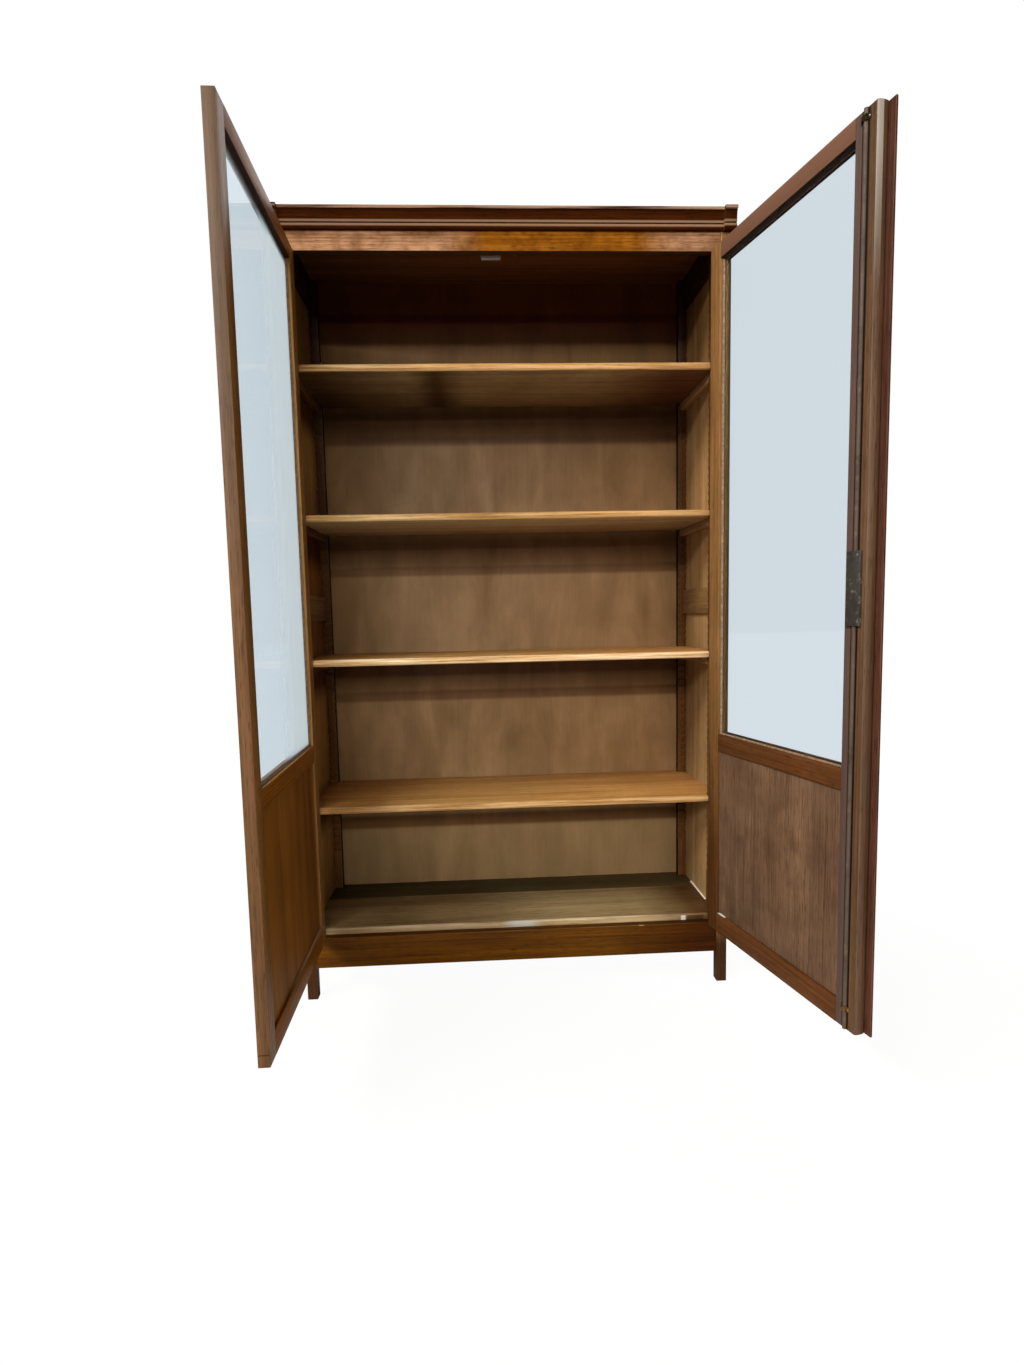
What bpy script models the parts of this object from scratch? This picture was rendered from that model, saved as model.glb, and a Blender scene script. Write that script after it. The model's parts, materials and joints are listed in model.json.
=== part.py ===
"""Display cabinet: a glazed two-door oak bookcase on open legs, with loose shelves on toothed racks.

Metres, +Z up, the front faces -Y. The doors stand open, the right one with its cremone lock.
"""

import math

import bmesh
import bpy
from mathutils import Vector

# Overall sizes
WIDTH = 1.200
BODY_DEPTH = 0.400
HEIGHT = 2.114
GAP = 0.0003
WELD = 0.000001

# Carcass
POST = 0.0288
LEG_HEIGHT = 0.0906
BASE_RAIL_HEIGHT = 0.0868
FRIEZE_HEIGHT = 0.082
RAIL_THICKNESS = 0.023
RAIL_SETBACK = 0.002
SIDE_RAIL_HEIGHT = 0.0765
SIDE_RAIL_INSET = 0.002
MID_RAIL_ABOVE_FLOOR = 0.8736
MID_RAIL_HEIGHT = 0.074
TOP_RAIL_HEIGHT = 0.091
PANEL_INSET = 0.010
PANEL_THICKNESS = 0.007
GROOVE = 0.006
BACK_THICKNESS = 0.008
TOP_THICKNESS = 0.012
FLOOR_THICKNESS = 0.023
FRONT_BOARD_DEPTH = 0.218
NOSE_RADIUS = 0.006

# Cornice
CORNICE_HEIGHT = 0.054
CORNICE_RISE = 0.0076
CORNICE_PROJECTION = 0.0163
CORNICE_BEAD = 0.0162
CORNICE_QUIRK = 0.0012
CORNICE_FILLET = 0.0107
CORNICE_LIP = 0.007
BEAD_OUT = 0.0098
QUIRK_OUT = 0.0033
FILLET_OUT = 0.0082
COVE_OUT = 0.0145
BLOCK_WIDTH = 0.033
BLOCK_SEAT = 0.008
BLOCK_BREAK = 0.008
BLOCK_LIP = 0.0008
RETURN_PROJECTION = 0.0082

# Racks, cleats and shelves
RACK = 0.0257
RACK_PITCH = 0.0231
RACK_PLAIN_FOOT = 0.1258
RACK_PLAIN_TOP = 0.14
TOOTH = 0.008
CLEAT_HEIGHT = 0.021
CLEAT_WIDTH = 0.0207
SHELF_THICKNESS = 0.019
NOTCH_CLEARANCE = 0.0008
SHELF_NOTCHES = (60, 43, 26, 8)

# Doors
DOOR_THICKNESS = 0.0251
DOOR_GAP_BOTTOM = 0.0012
DOOR_GAP_TOP = 0.0045
HINGE_GAP = 0.0024
MEETING_GAP = 0.0026
PIVOT_OUT = 0.0056
LEFT_OPEN = math.radians(89.15)
RIGHT_OPEN = math.radians(103.31)
HINGE_STILE = 0.045
LEFT_CLOSING_STILE = 0.044
RIGHT_CLOSING_STILE = 0.057
TOP_RAIL = 0.0396
MID_RAIL = 0.045
BOTTOM_RAIL = 0.0534
LOWER_PANEL_HEIGHT = 0.458
REBATE_WIDTH = 0.008
REBATE_DEPTH = 0.014
OVOLO = 0.005
GLASS_THICKNESS = 0.0027
PANE_CLEARANCE = 0.0006
DOOR_PANEL_THICKNESS = 0.008
FIELD_RISE = 0.0055
FIELD_MARGIN = 0.028
EDGE_NOSE = 0.003

# Astragal, lock and bolts on the right door
ASTRAGAL_WIDTH = 0.035
ASTRAGAL_LAP = 0.015
ASTRAGAL_EDGE = 0.005
ASTRAGAL_THICKNESS = 0.009
ASTRAGAL_BEAD = 0.0234
ROD_INSET = 0.030
ROD_WIDTH = 0.009
ROD_THICKNESS = 0.0045
ROD_TAIL = 0.028
ROD_CLEARANCE = 0.0003
LOCK_WIDTH = 0.038
LOCK_HEIGHT = 0.150
LOCK_THICKNESS = 0.0064
LOCK_ABOVE_SILL = 0.8544
LOCK_CLEARANCE = 0.0016

# Hinges
HINGE_INSET = 0.220
KNUCKLE_LENGTH = 0.042
KNUCKLE_RADIUS = 0.0052
PIN_RADIUS = 0.0026
BORE_RADIUS = 0.0029
PIN_LENGTH = 0.030
FINIAL_NECK = 0.0009
FINIAL_NECK_RADIUS = 0.0030
FINIAL_KNOB_RADIUS = 0.0040
LEAF_THICKNESS = 0.0007
LEAF_DEPTH = 0.018
LEAF_MARGIN = 0.0015
ROUND_STEPS = 16

# Places worked out from the sizes
HALF = WIDTH / 2
POST_IN = HALF - POST
POSTS_BACK = BODY_DEPTH - POST
TOP_UNDERSIDE = HEIGHT - CORNICE_RISE - TOP_THICKNESS
POST_TOP = TOP_UNDERSIDE - GAP
FRIEZE_BOTTOM = POST_TOP - FRIEZE_HEIGHT
BASE_RAIL_TOP = LEG_HEIGHT + BASE_RAIL_HEIGHT
SIDE_RAIL_TOP = LEG_HEIGHT + SIDE_RAIL_HEIGHT
FLOOR_TOP = SIDE_RAIL_TOP + GAP + FLOOR_THICKNESS
MID_RAIL_BOTTOM = FLOOR_TOP + MID_RAIL_ABOVE_FLOOR
RACK_FIRST = FLOOR_TOP + RACK_PLAIN_FOOT
PANEL_IN = HALF - PANEL_INSET - PANEL_THICKNESS
BOARD_FRONT = DOOR_THICKNESS + GAP + LOCK_THICKNESS + LOCK_CLEARANCE
BOARD_END = PANEL_IN - GAP
RACK_IN = PANEL_IN - GAP - RACK
RACK_FRONT_FACE = POST + GAP + RACK
RACK_REAR_FACE = POSTS_BACK - GAP - RACK
BETWEEN_RACKS = (RACK_FRONT_FACE + GAP, RACK_REAR_FACE - GAP)
DOOR_BOTTOM = BASE_RAIL_TOP + DOOR_GAP_BOTTOM
DOOR_TOP = FRIEZE_BOTTOM - DOOR_GAP_TOP
PIVOT_X = POST_IN - HINGE_GAP / 2
DOOR_START = HINGE_GAP / 2
DOOR_END = PIVOT_X - MEETING_GAP / 2
OUTER = PIVOT_OUT
INNER = PIVOT_OUT + DOOR_THICKNESS
REBATE = INNER - REBATE_DEPTH
PANEL_SIGHT_BOTTOM = DOOR_BOTTOM + BOTTOM_RAIL
PANEL_SIGHT_TOP = PANEL_SIGHT_BOTTOM + LOWER_PANEL_HEIGHT
GLASS_SIGHT_BOTTOM = PANEL_SIGHT_TOP + MID_RAIL
GLASS_SIGHT_TOP = DOOR_TOP - TOP_RAIL
ROD_X = DOOR_END - ROD_INSET
LOCK_BOTTOM = DOOR_BOTTOM + LOCK_ABOVE_SILL
LOCK_TOP = LOCK_BOTTOM + LOCK_HEIGHT

SIDES = (("left", -1), ("right", 1))


def clear_scene():
    """Empties the scene that the script starts in."""
    for obj in list(bpy.data.objects):
        bpy.data.objects.remove(obj)


def new_collection(name):
    """A collection linked to the scene."""
    collection = bpy.data.collections.new(name)
    bpy.context.scene.collection.children.link(collection)
    return collection


clear_scene()
PARTS = new_collection("display_cabinet")
CUTTERS = new_collection("cutters")


def make_material(name, colour, roughness, metallic=0.0, transmission=0.0):
    """A Principled BSDF material in a linear colour."""
    material = bpy.data.materials.new(name)
    material.use_nodes = True
    shader = material.node_tree.nodes["Principled BSDF"]
    shader.inputs["Base Color"].default_value = (*colour, 1.0)
    shader.inputs["Roughness"].default_value = roughness
    shader.inputs["Metallic"].default_value = metallic
    shader.inputs["Transmission Weight"].default_value = transmission
    return material


STAINED_OAK = make_material("stained_oak", (0.19, 0.085, 0.034), 0.45)
INNER_OAK = make_material("inner_oak", (0.42, 0.235, 0.105), 0.6)
RAW_OAK = make_material("raw_oak", (0.5, 0.27, 0.115), 0.7)
DARK_BOARD = make_material("dark_board", (0.045, 0.028, 0.016), 0.7)
GLASS = make_material("clear_glass", (0.86, 0.9, 0.9), 0.03, transmission=1.0)
IRON = make_material("aged_iron", (0.11, 0.105, 0.095), 0.5, 1.0)
STEEL = make_material("worn_steel", (0.42, 0.4, 0.36), 0.38, 1.0)
BRASS = make_material("aged_brass", (0.42, 0.27, 0.1), 0.4, 1.0)

ROOT = bpy.data.objects.new("cabinet_root", None)
PARTS.objects.link(ROOT)


def hinge_axis(side_name, sign, turn):
    """An empty on a door's hinge axis, turned by the door's opening."""
    axis = bpy.data.objects.new(side_name + "_door_axis", None)
    PARTS.objects.link(axis)
    axis.parent = ROOT
    axis.location = (sign * PIVOT_X, -PIVOT_OUT, 0.0)
    axis.rotation_euler = (0.0, 0.0, sign * turn)
    return axis


DOOR_AXIS = {
    "left": hinge_axis("left", -1, LEFT_OPEN),
    "right": hinge_axis("right", 1, RIGHT_OPEN),
}


def add_part(name, mesh, material, parent=None):
    """An object of the cabinet, or a helper shape where there is no material."""
    obj = bpy.data.objects.new(name, mesh)
    obj.parent = parent or ROOT
    if material is None:
        CUTTERS.objects.link(obj)
        obj.hide_render = True
        obj.display_type = "WIRE"
    else:
        PARTS.objects.link(obj)
        own = material.copy()
        own.name = name
        mesh.materials.append(own)
    return obj


def box(name, x, y, z, material=None, parent=None):
    """A cuboid between the two limits on each axis."""
    bm = bmesh.new()
    bmesh.ops.create_cube(bm, size=1.0)
    spans = [sorted(pair) for pair in (x, y, z)]
    bmesh.ops.scale(bm, vec=[high - low for low, high in spans], verts=bm.verts)
    mesh = bpy.data.meshes.new(name)
    bm.to_mesh(mesh)
    bm.free()
    obj = add_part(name, mesh, material, parent)
    obj.location = [(low + high) / 2 for low, high in spans]
    return obj


TURNS = {
    "X": (math.pi / 2, 0.0, math.pi / 2),
    "Y": (math.pi / 2, 0.0, 0.0),
    "Z": (0.0, 0.0, 0.0),
}


def prism(name, outline, along, span, material=None, parent=None):
    """A closed outline drawn across an axis and extruded along it, with one flat face at each end.

    The outline is (y, z) along X, (x, z) along Y and (x, y) along Z.
    """
    curve = bpy.data.curves.new(name + "_outline", "CURVE")
    curve.dimensions = "2D"
    curve.fill_mode = "NONE"
    low, high = sorted(span)
    curve.extrude = (high - low) / 2
    spline = curve.splines.new("POLY")
    spline.points.add(len(outline) - 1)
    for point, (u, v) in zip(spline.points, outline):
        point.co = (u, v, 0.0, 1.0)
    spline.use_cyclic_u = True
    drawn = bpy.data.objects.new(name + "_outline", curve)
    CUTTERS.objects.link(drawn)
    graph = bpy.context.evaluated_depsgraph_get()
    mesh = bpy.data.meshes.new_from_object(drawn.evaluated_get(graph))
    bpy.data.objects.remove(drawn)
    bm = bmesh.new()
    bm.from_mesh(mesh)
    bmesh.ops.remove_doubles(bm, verts=bm.verts, dist=WELD)
    rims = [edge for edge in bm.edges if edge.is_boundary]
    bmesh.ops.holes_fill(bm, edges=rims, sides=0)
    bmesh.ops.recalc_face_normals(bm, faces=bm.faces)
    bm.to_mesh(mesh)
    bm.free()
    mesh.name = name
    mesh.materials.clear()
    obj = add_part(name, mesh, material, parent)
    obj.rotation_euler = TURNS[along]
    middle = (low + high) / 2
    obj.location = [middle if axis == along else 0.0 for axis in "XYZ"]
    return obj


def boolean(obj, other, operation):
    """Cuts a helper shape out of a piece, or joins it on."""
    modifier = obj.modifiers.new(operation.lower(), "BOOLEAN")
    modifier.object = other
    modifier.operation = operation
    modifier.solver = "EXACT"


def turned(name, profile, steps, material=None, parent=None):
    """A profile of (radius, height) points from the bottom up, turned about Z."""
    bm = bmesh.new()
    points = [bm.verts.new((radius, 0.0, height)) for radius, height in reversed(profile)]
    for first, second in zip(points, points[1:]):
        bm.edges.new((first, second))
    mesh = bpy.data.meshes.new(name)
    bm.to_mesh(mesh)
    bm.free()
    obj = add_part(name, mesh, material, parent)
    screw = obj.modifiers.new("turn", "SCREW")
    screw.steps = steps
    screw.render_steps = steps
    screw.use_merge_vertices = True
    screw.merge_threshold = WELD
    screw.use_smooth_shade = True
    return obj


def arc(centre, radii, start, end, steps):
    """Points on an elliptical arc, both ends included, with angles in degrees."""
    points = []
    for step in range(steps + 1):
        angle = math.radians(start + (end - start) * step / steps)
        points.append((centre[0] + radii[0] * math.cos(angle), centre[1] + radii[1] * math.sin(angle)))
    return points


def build_posts():
    """Four square legs that run from the floor to the top board, grooved for the side panels."""
    for side, sign in SIDES:
        groove_x = (sign * (PANEL_IN - GAP), sign * (PANEL_IN + PANEL_THICKNESS + GAP))
        groove_z = (SIDE_RAIL_TOP - GROOVE - GAP, HEIGHT)
        for place, front in (("front", 0.0), ("rear", POSTS_BACK)):
            post = box(
                f"{place}_post_{side}",
                (sign * POST_IN, sign * HALF),
                (front, front + POST),
                (0.0, POST_TOP),
                STAINED_OAK,
            )
            mouth = POST if place == "front" else POSTS_BACK
            groove_y = (mouth - GROOVE - GAP, mouth + GROOVE + GAP)
            boolean(post, box(f"groove_{place}_{side}", groove_x, groove_y, groove_z), "DIFFERENCE")


def build_rails():
    """The rails between the posts: base and frieze in front, one behind, two on each side."""
    between_posts = (-POST_IN + GAP, POST_IN - GAP)
    rail_y = (RAIL_SETBACK, RAIL_SETBACK + RAIL_THICKNESS)
    box("base_rail", between_posts, rail_y, (LEG_HEIGHT, BASE_RAIL_TOP), STAINED_OAK)
    box("frieze_rail", between_posts, rail_y, (FRIEZE_BOTTOM, POST_TOP), RAW_OAK)
    rear_y = (POSTS_BACK + BACK_THICKNESS + 2 * GAP, BODY_DEPTH)
    box("rear_bottom_rail", between_posts, rear_y, (LEG_HEIGHT, SIDE_RAIL_TOP), STAINED_OAK)
    side_y = (POST + GAP, POSTS_BACK - GAP)
    groove_z = (SIDE_RAIL_TOP - GROOVE - GAP, SIDE_RAIL_TOP + GROOVE)
    for side, sign in SIDES:
        outside = HALF - SIDE_RAIL_INSET
        rail = box(
            f"side_bottom_rail_{side}",
            (sign * (outside - RAIL_THICKNESS), sign * outside),
            side_y,
            (LEG_HEIGHT, SIDE_RAIL_TOP),
            STAINED_OAK,
        )
        groove_x = (sign * (PANEL_IN - GAP), sign * (PANEL_IN + PANEL_THICKNESS + GAP))
        groove_y = (0.0, BODY_DEPTH)
        boolean(rail, box(f"rail_groove_{side}", groove_x, groove_y, groove_z), "DIFFERENCE")
        box(
            f"side_mid_rail_{side}",
            (sign * POST_IN, sign * BOARD_END),
            BETWEEN_RACKS,
            (MID_RAIL_BOTTOM, MID_RAIL_BOTTOM + MID_RAIL_HEIGHT),
            STAINED_OAK,
        )


def build_panels_and_boards(corners):
    """Side panels in their grooves, the back, the top and the two floor boards.

    Each side panel is glued up with the rail along its top.
    """
    panel_y = (POST - GROOVE, POSTS_BACK + GROOVE)
    top_rail_z = (POST_TOP - TOP_RAIL_HEIGHT, POST_TOP)
    for side, sign in SIDES:
        panel_x = (sign * PANEL_IN, sign * (PANEL_IN + PANEL_THICKNESS))
        panel = box(
            f"side_panel_{side}", panel_x, panel_y, (SIDE_RAIL_TOP - GROOVE, POST_TOP), INNER_OAK
        )
        top_rail_x = (sign * POST_IN, sign * (PANEL_IN + PANEL_THICKNESS / 2))
        top_rail = box(f"side_top_rail_{side}", top_rail_x, BETWEEN_RACKS, top_rail_z)
        boolean(panel, top_rail, "UNION")
    back_y = (POSTS_BACK + GAP, POSTS_BACK + GAP + BACK_THICKNESS)
    box("back_panel", (-POST_IN + GAP, POST_IN - GAP), back_y, (LEG_HEIGHT, POST_TOP), INNER_OAK)
    box(
        "top_board",
        (-HALF, HALF),
        (0.0, BODY_DEPTH),
        (TOP_UNDERSIDE, TOP_UNDERSIDE + TOP_THICKNESS),
        STAINED_OAK,
    )
    seam = BOARD_FRONT + FRONT_BOARD_DEPTH
    floor_x = (-BOARD_END, BOARD_END)
    floor_z = (SIDE_RAIL_TOP + GAP, FLOOR_TOP)
    nosed = nosed_board(BOARD_FRONT, seam, *floor_z)
    front_board = prism("floor_board_front", nosed, "X", floor_x, INNER_OAK)
    rear_board = box("floor_board_rear", floor_x, (seam + GAP, POSTS_BACK), floor_z, DARK_BOARD)
    for place, board in (("front", front_board), ("rear", rear_board)):
        for corner in corners[place]:
            boolean(board, corner, "DIFFERENCE")


def nosed_board(front, back, bottom, top):
    """Section (y, z) of a board whose front edge is rounded above and below."""
    upper = arc((front + NOSE_RADIUS, top - NOSE_RADIUS), (NOSE_RADIUS,) * 2, 180, 90, 4)
    lower = arc((front + NOSE_RADIUS, bottom + NOSE_RADIUS), (NOSE_RADIUS,) * 2, 270, 180, 4)
    return [(back, bottom)] + lower + upper + [(back, top)]


def cornice_section(projection):
    """Section of the cornice as (distance out, height): bead, quirk, fillet, cove and lip.

    A run that projects less than the front one is the same section, drawn in.
    """
    fillet_bottom = CORNICE_BEAD + CORNICE_QUIRK
    fillet_top = fillet_bottom + CORNICE_FILLET
    cove_top = CORNICE_HEIGHT - CORNICE_LIP
    half_bead = CORNICE_BEAD / 2
    points = [(0.0, 0.0)]
    points += arc((QUIRK_OUT, half_bead), (BEAD_OUT - QUIRK_OUT, half_bead), -90, 90, 6)
    points += [(QUIRK_OUT, fillet_bottom), (FILLET_OUT, fillet_bottom)]
    points += arc((COVE_OUT, fillet_top), (FILLET_OUT - COVE_OUT, cove_top - fillet_top), 0, 90, 5)
    points += [
        (CORNICE_PROJECTION, cove_top),
        (CORNICE_PROJECTION, CORNICE_HEIGHT),
        (0.0, CORNICE_HEIGHT),
    ]
    draw_in = projection / CORNICE_PROJECTION
    return [(out * draw_in, up) for out, up in points]


def build_cornice():
    """The crown moulding: a front run, corner blocks that break forward and two side returns."""
    bottom = HEIGHT - CORNICE_HEIGHT
    end = HALF + RETURN_PROJECTION
    block_start = end - BLOCK_WIDTH
    section = cornice_section(CORNICE_PROJECTION)
    front = [(-GAP - out, bottom + up) for out, up in section]
    run_end = block_start + BLOCK_SEAT
    cornice = prism("cornice", front, "X", (-run_end, run_end), STAINED_OAK)
    stretch = 1 + 2 * BLOCK_LIP / CORNICE_HEIGHT
    block = [
        (-GAP - (out + BLOCK_BREAK if out else 0.0), bottom - BLOCK_LIP + up * stretch)
        for out, up in section
    ]
    returned = cornice_section(RETURN_PROJECTION)
    for side, sign in SIDES:
        corner = prism(f"block_{side}", block, "X", (sign * block_start, sign * end))
        boolean(cornice, corner, "UNION")
        flank = [(sign * (HALF + GAP + out), bottom + up) for out, up in returned]
        run = prism(f"return_{side}", flank, "Y", (-BLOCK_BREAK, BODY_DEPTH))
        boolean(cornice, run, "UNION")


def rack_teeth():
    """Heights of the ledges, as many as fit below the plain top of a rack."""
    count = int((POST_TOP - RACK_PLAIN_TOP - RACK_FIRST) / RACK_PITCH)
    return [RACK_FIRST + step * RACK_PITCH for step in range(count)]


def rack_corners():
    """Cutters for the front and rear corners of a board that is notched round the racks."""
    spans = {
        "front": (0.0, RACK_FRONT_FACE + NOTCH_CLEARANCE),
        "rear": (RACK_REAR_FACE - NOTCH_CLEARANCE, WIDTH),
    }
    corners = {"front": [], "rear": []}
    for side, sign in SIDES:
        notch_x = (sign * (RACK_IN - NOTCH_CLEARANCE), sign * WIDTH)
        for place, notch_y in spans.items():
            corners[place].append(box(f"corner_{place}_{side}", notch_x, notch_y, (0.0, HEIGHT)))
    return corners


def build_racks():
    """Four corner racks on the side rails, sawn with ledges that face each other front to back."""
    bottom = SIDE_RAIL_TOP + GAP
    top = POST_TOP
    for side, sign in SIDES:
        span = (sign * RACK_IN, sign * (RACK_IN + RACK))
        for place, face, inward in (
            ("front", RACK_FRONT_FACE, -1),
            ("rear", RACK_REAR_FACE, 1),
        ):
            back = face + inward * RACK
            outline = [(back, bottom), (face, bottom)]
            for ledge in rack_teeth():
                outline += [(face, ledge), (face + inward * TOOTH, ledge)]
            outline += [(face, rack_teeth()[-1] + RACK_PITCH), (face, top), (back, top)]
            prism(f"rack_{place}_{side}", outline, "X", span, INNER_OAK)


def build_shelves(corners):
    """Shelves notched round the racks, each on two cleats with ends cut to the teeth."""
    slant = TOOTH * CLEAT_HEIGHT / RACK_PITCH
    reach = TOOTH - 2 * GAP
    for number, notch in enumerate(SHELF_NOTCHES, start=1):
        ledge = RACK_FIRST + notch * RACK_PITCH + GAP
        cleat_top = ledge + CLEAT_HEIGHT
        outline = [
            (RACK_FRONT_FACE - reach, ledge),
            (RACK_REAR_FACE + reach, ledge),
            (RACK_REAR_FACE + reach - slant, cleat_top),
            (RACK_FRONT_FACE - reach + slant, cleat_top),
        ]
        for side, sign in SIDES:
            span = (sign * (BOARD_END - CLEAT_WIDTH), sign * BOARD_END)
            prism(f"cleat_{number}_{side}", outline, "X", span, INNER_OAK)
        underside = cleat_top + GAP
        section = nosed_board(BOARD_FRONT, POSTS_BACK, underside, underside + SHELF_THICKNESS)
        shelf = prism(f"shelf_{number}", section, "X", (-BOARD_END, BOARD_END), INNER_OAK)
        for corner in corners["front"] + corners["rear"]:
            boolean(shelf, corner, "DIFFERENCE")


class Door:
    """One framed door, drawn closed in the frame of its hinge axis."""

    def __init__(self, side, sign, closing_stile, edge_nose):
        self.side = side
        self.toward_middle = -sign
        self.axis = DOOR_AXIS[side]
        self.hinge_sight = DOOR_START + HINGE_STILE
        self.closing_sight = DOOR_END - closing_stile
        self.edge_nose = edge_nose

    def name(self, piece):
        return f"{self.side}_door_{piece}"

    def across(self, *distances):
        """Distances from the hinge axis as X values on this door."""
        return tuple(self.toward_middle * distance for distance in distances)

    def stile_section(self, edge, sight):
        """Section (distance, depth) of a stile: rebated inside, ovolo on the outer lip."""
        way = 1 if sight > edge else -1
        lip = sight + way * REBATE_WIDTH
        points = [(edge, OUTER), (lip - way * OVOLO, OUTER)]
        points += arc((lip - way * OVOLO, OUTER + OVOLO), (way * OVOLO, OVOLO), -90, 0, 4)[1:]
        points += [(lip, REBATE), (sight, REBATE), (sight, INNER), (edge, INNER)]
        return points

    def build_stiles(self):
        span = (DOOR_BOTTOM, DOOR_TOP)
        section = self.stile_section(DOOR_START, self.hinge_sight)
        self.upright("hinge_stile", section, span)
        corner = DOOR_END - self.edge_nose
        section = self.stile_section(corner, self.closing_sight)
        if self.edge_nose:
            middle = (OUTER + INNER) / 2
            section += arc(
                (corner, middle), (self.edge_nose, DOOR_THICKNESS / 2), 90, -90, 8
            )[1:-1]
        self.upright("closing_stile", section, span)

    def upright(self, piece, section, span, material=STAINED_OAK):
        """A length of a section given by distance from the hinge axis and depth."""
        outline = [(self.toward_middle * distance, depth) for distance, depth in section]
        return prism(self.name(piece), outline, "Z", span, material, self.axis)

    def build_rail(self, piece, bottom, top, lip_below, lip_above):
        """A rail scribed between the stiles: its moulded face stops at the stiles' lips."""
        inner = self.across(self.hinge_sight + GAP, self.closing_sight - GAP)
        outer = self.across(
            self.hinge_sight + REBATE_WIDTH + GAP, self.closing_sight - REBATE_WIDTH - GAP
        )
        rail = box(
            self.name(piece), inner, (REBATE + GAP, INNER), (bottom, top), STAINED_OAK, self.axis
        )
        core = (REBATE + INNER) / 2
        low = bottom - lip_below
        high = top + lip_above
        section = [(core, bottom + GAP), (core, top - GAP), (REBATE, top - GAP), (REBATE, high)]
        upper = arc((OUTER + OVOLO, high - OVOLO), (OVOLO, OVOLO), 90, 180, 4)
        lower = arc((OUTER + OVOLO, low + OVOLO), (OVOLO, OVOLO), 180, 270, 4)
        section += upper if lip_above else [(OUTER, high)]
        section += lower if lip_below else [(OUTER, low)]
        section += [(REBATE, low), (REBATE, bottom + GAP)]
        face = prism(self.name(piece) + "_face", section, "X", outer, None, self.axis)
        boolean(rail, face, "UNION")

    def build_rails(self):
        lip = REBATE_WIDTH
        self.build_rail("bottom_rail", DOOR_BOTTOM, PANEL_SIGHT_BOTTOM, 0.0, lip)
        self.build_rail("mid_rail", PANEL_SIGHT_TOP, GLASS_SIGHT_BOTTOM, lip, lip)
        self.build_rail("top_rail", GLASS_SIGHT_TOP, DOOR_TOP, lip, 0.0)

    def build_infill(self):
        """The pane and the fielded panel, both bedded in the rebate from inside."""
        start = self.hinge_sight + PANE_CLEARANCE
        end = self.closing_sight - PANE_CLEARANCE
        width = self.across(start, end)
        bed = REBATE + GAP
        pane_y = (bed, bed + GLASS_THICKNESS)
        pane_z = (GLASS_SIGHT_BOTTOM + PANE_CLEARANCE, GLASS_SIGHT_TOP - PANE_CLEARANCE)
        box(self.name("glass"), width, pane_y, pane_z, GLASS, self.axis)
        panel_y = (bed, bed + DOOR_PANEL_THICKNESS)
        panel_z = (PANEL_SIGHT_BOTTOM + PANE_CLEARANCE, PANEL_SIGHT_TOP - PANE_CLEARANCE)
        panel = box(self.name("panel"), width, panel_y, panel_z, STAINED_OAK, self.axis)
        raise_field(panel.data)

    def build_hinges(self):
        """Two lift-off hinges: the post's half carries the pin, the door's half turns on it."""
        heights = (DOOR_BOTTOM + HINGE_INSET, DOOR_TOP - HINGE_INSET)
        for place, height in zip(("lower", "upper"), heights):
            self.build_post_half(place, height)
            self.build_door_half(place, height)

    def build_post_half(self, place, height):
        pivot = (-self.toward_middle * PIVOT_X, -PIVOT_OUT, height)
        profile = finial(False) + [
            (KNUCKLE_RADIUS, -GAP / 2),
            (PIN_RADIUS, -GAP / 2),
            (PIN_RADIUS, PIN_LENGTH),
            (0.0, PIN_LENGTH),
        ]
        name = self.name(f"{place}_hinge_post_half")
        knuckle = turned(name, profile, ROUND_STEPS, BRASS)
        knuckle.location = pivot
        post_face = POST_IN - GAP
        leaf_x = (
            -self.toward_middle * (post_face - LEAF_THICKNESS),
            -self.toward_middle * post_face,
        )
        leaf_z = (height - KNUCKLE_LENGTH + LEAF_MARGIN, height - LEAF_MARGIN)
        boolean(knuckle, box(name + "_leaf", leaf_x, (-PIVOT_OUT, LEAF_DEPTH), leaf_z), "UNION")

    def build_door_half(self, place, height):
        profile = [(BORE_RADIUS, GAP / 2), (KNUCKLE_RADIUS, GAP / 2)] + finial(True)
        profile.insert(0, (BORE_RADIUS, PIN_LENGTH + 2 * GAP))
        profile.insert(0, (0.0, PIN_LENGTH + 2 * GAP))
        name = self.name(f"{place}_hinge_door_half")
        knuckle = turned(name, profile, ROUND_STEPS, BRASS, self.axis)
        knuckle.location = (0.0, 0.0, height)
        edge = DOOR_START - GAP
        leaf_x = self.across(edge - LEAF_THICKNESS, edge)
        leaf_z = (height + LEAF_MARGIN, height + KNUCKLE_LENGTH - LEAF_MARGIN)
        leaf_y = ((BORE_RADIUS + KNUCKLE_RADIUS) / 2, PIVOT_OUT + LEAF_DEPTH)
        leaf = box(name + "_leaf", leaf_x, leaf_y, leaf_z, None, self.axis)
        boolean(knuckle, leaf, "UNION")


def finial(up):
    """The end of a knuckle with its turned knob, above or below, listed from the bottom up."""
    neck = KNUCKLE_LENGTH + FINIAL_NECK
    waist = math.degrees(math.acos(FINIAL_NECK_RADIUS / FINIAL_KNOB_RADIUS))
    middle = neck + FINIAL_KNOB_RADIUS * math.sin(math.radians(waist))
    knob = arc((0.0, middle), (FINIAL_KNOB_RADIUS, FINIAL_KNOB_RADIUS), -waist, 90, 5)
    shape = [(KNUCKLE_RADIUS, KNUCKLE_LENGTH)] + knob[:-1] + [(0.0, middle + FINIAL_KNOB_RADIUS)]
    if up:
        return shape
    return [(radius, -height) for radius, height in reversed(shape)]


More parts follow.
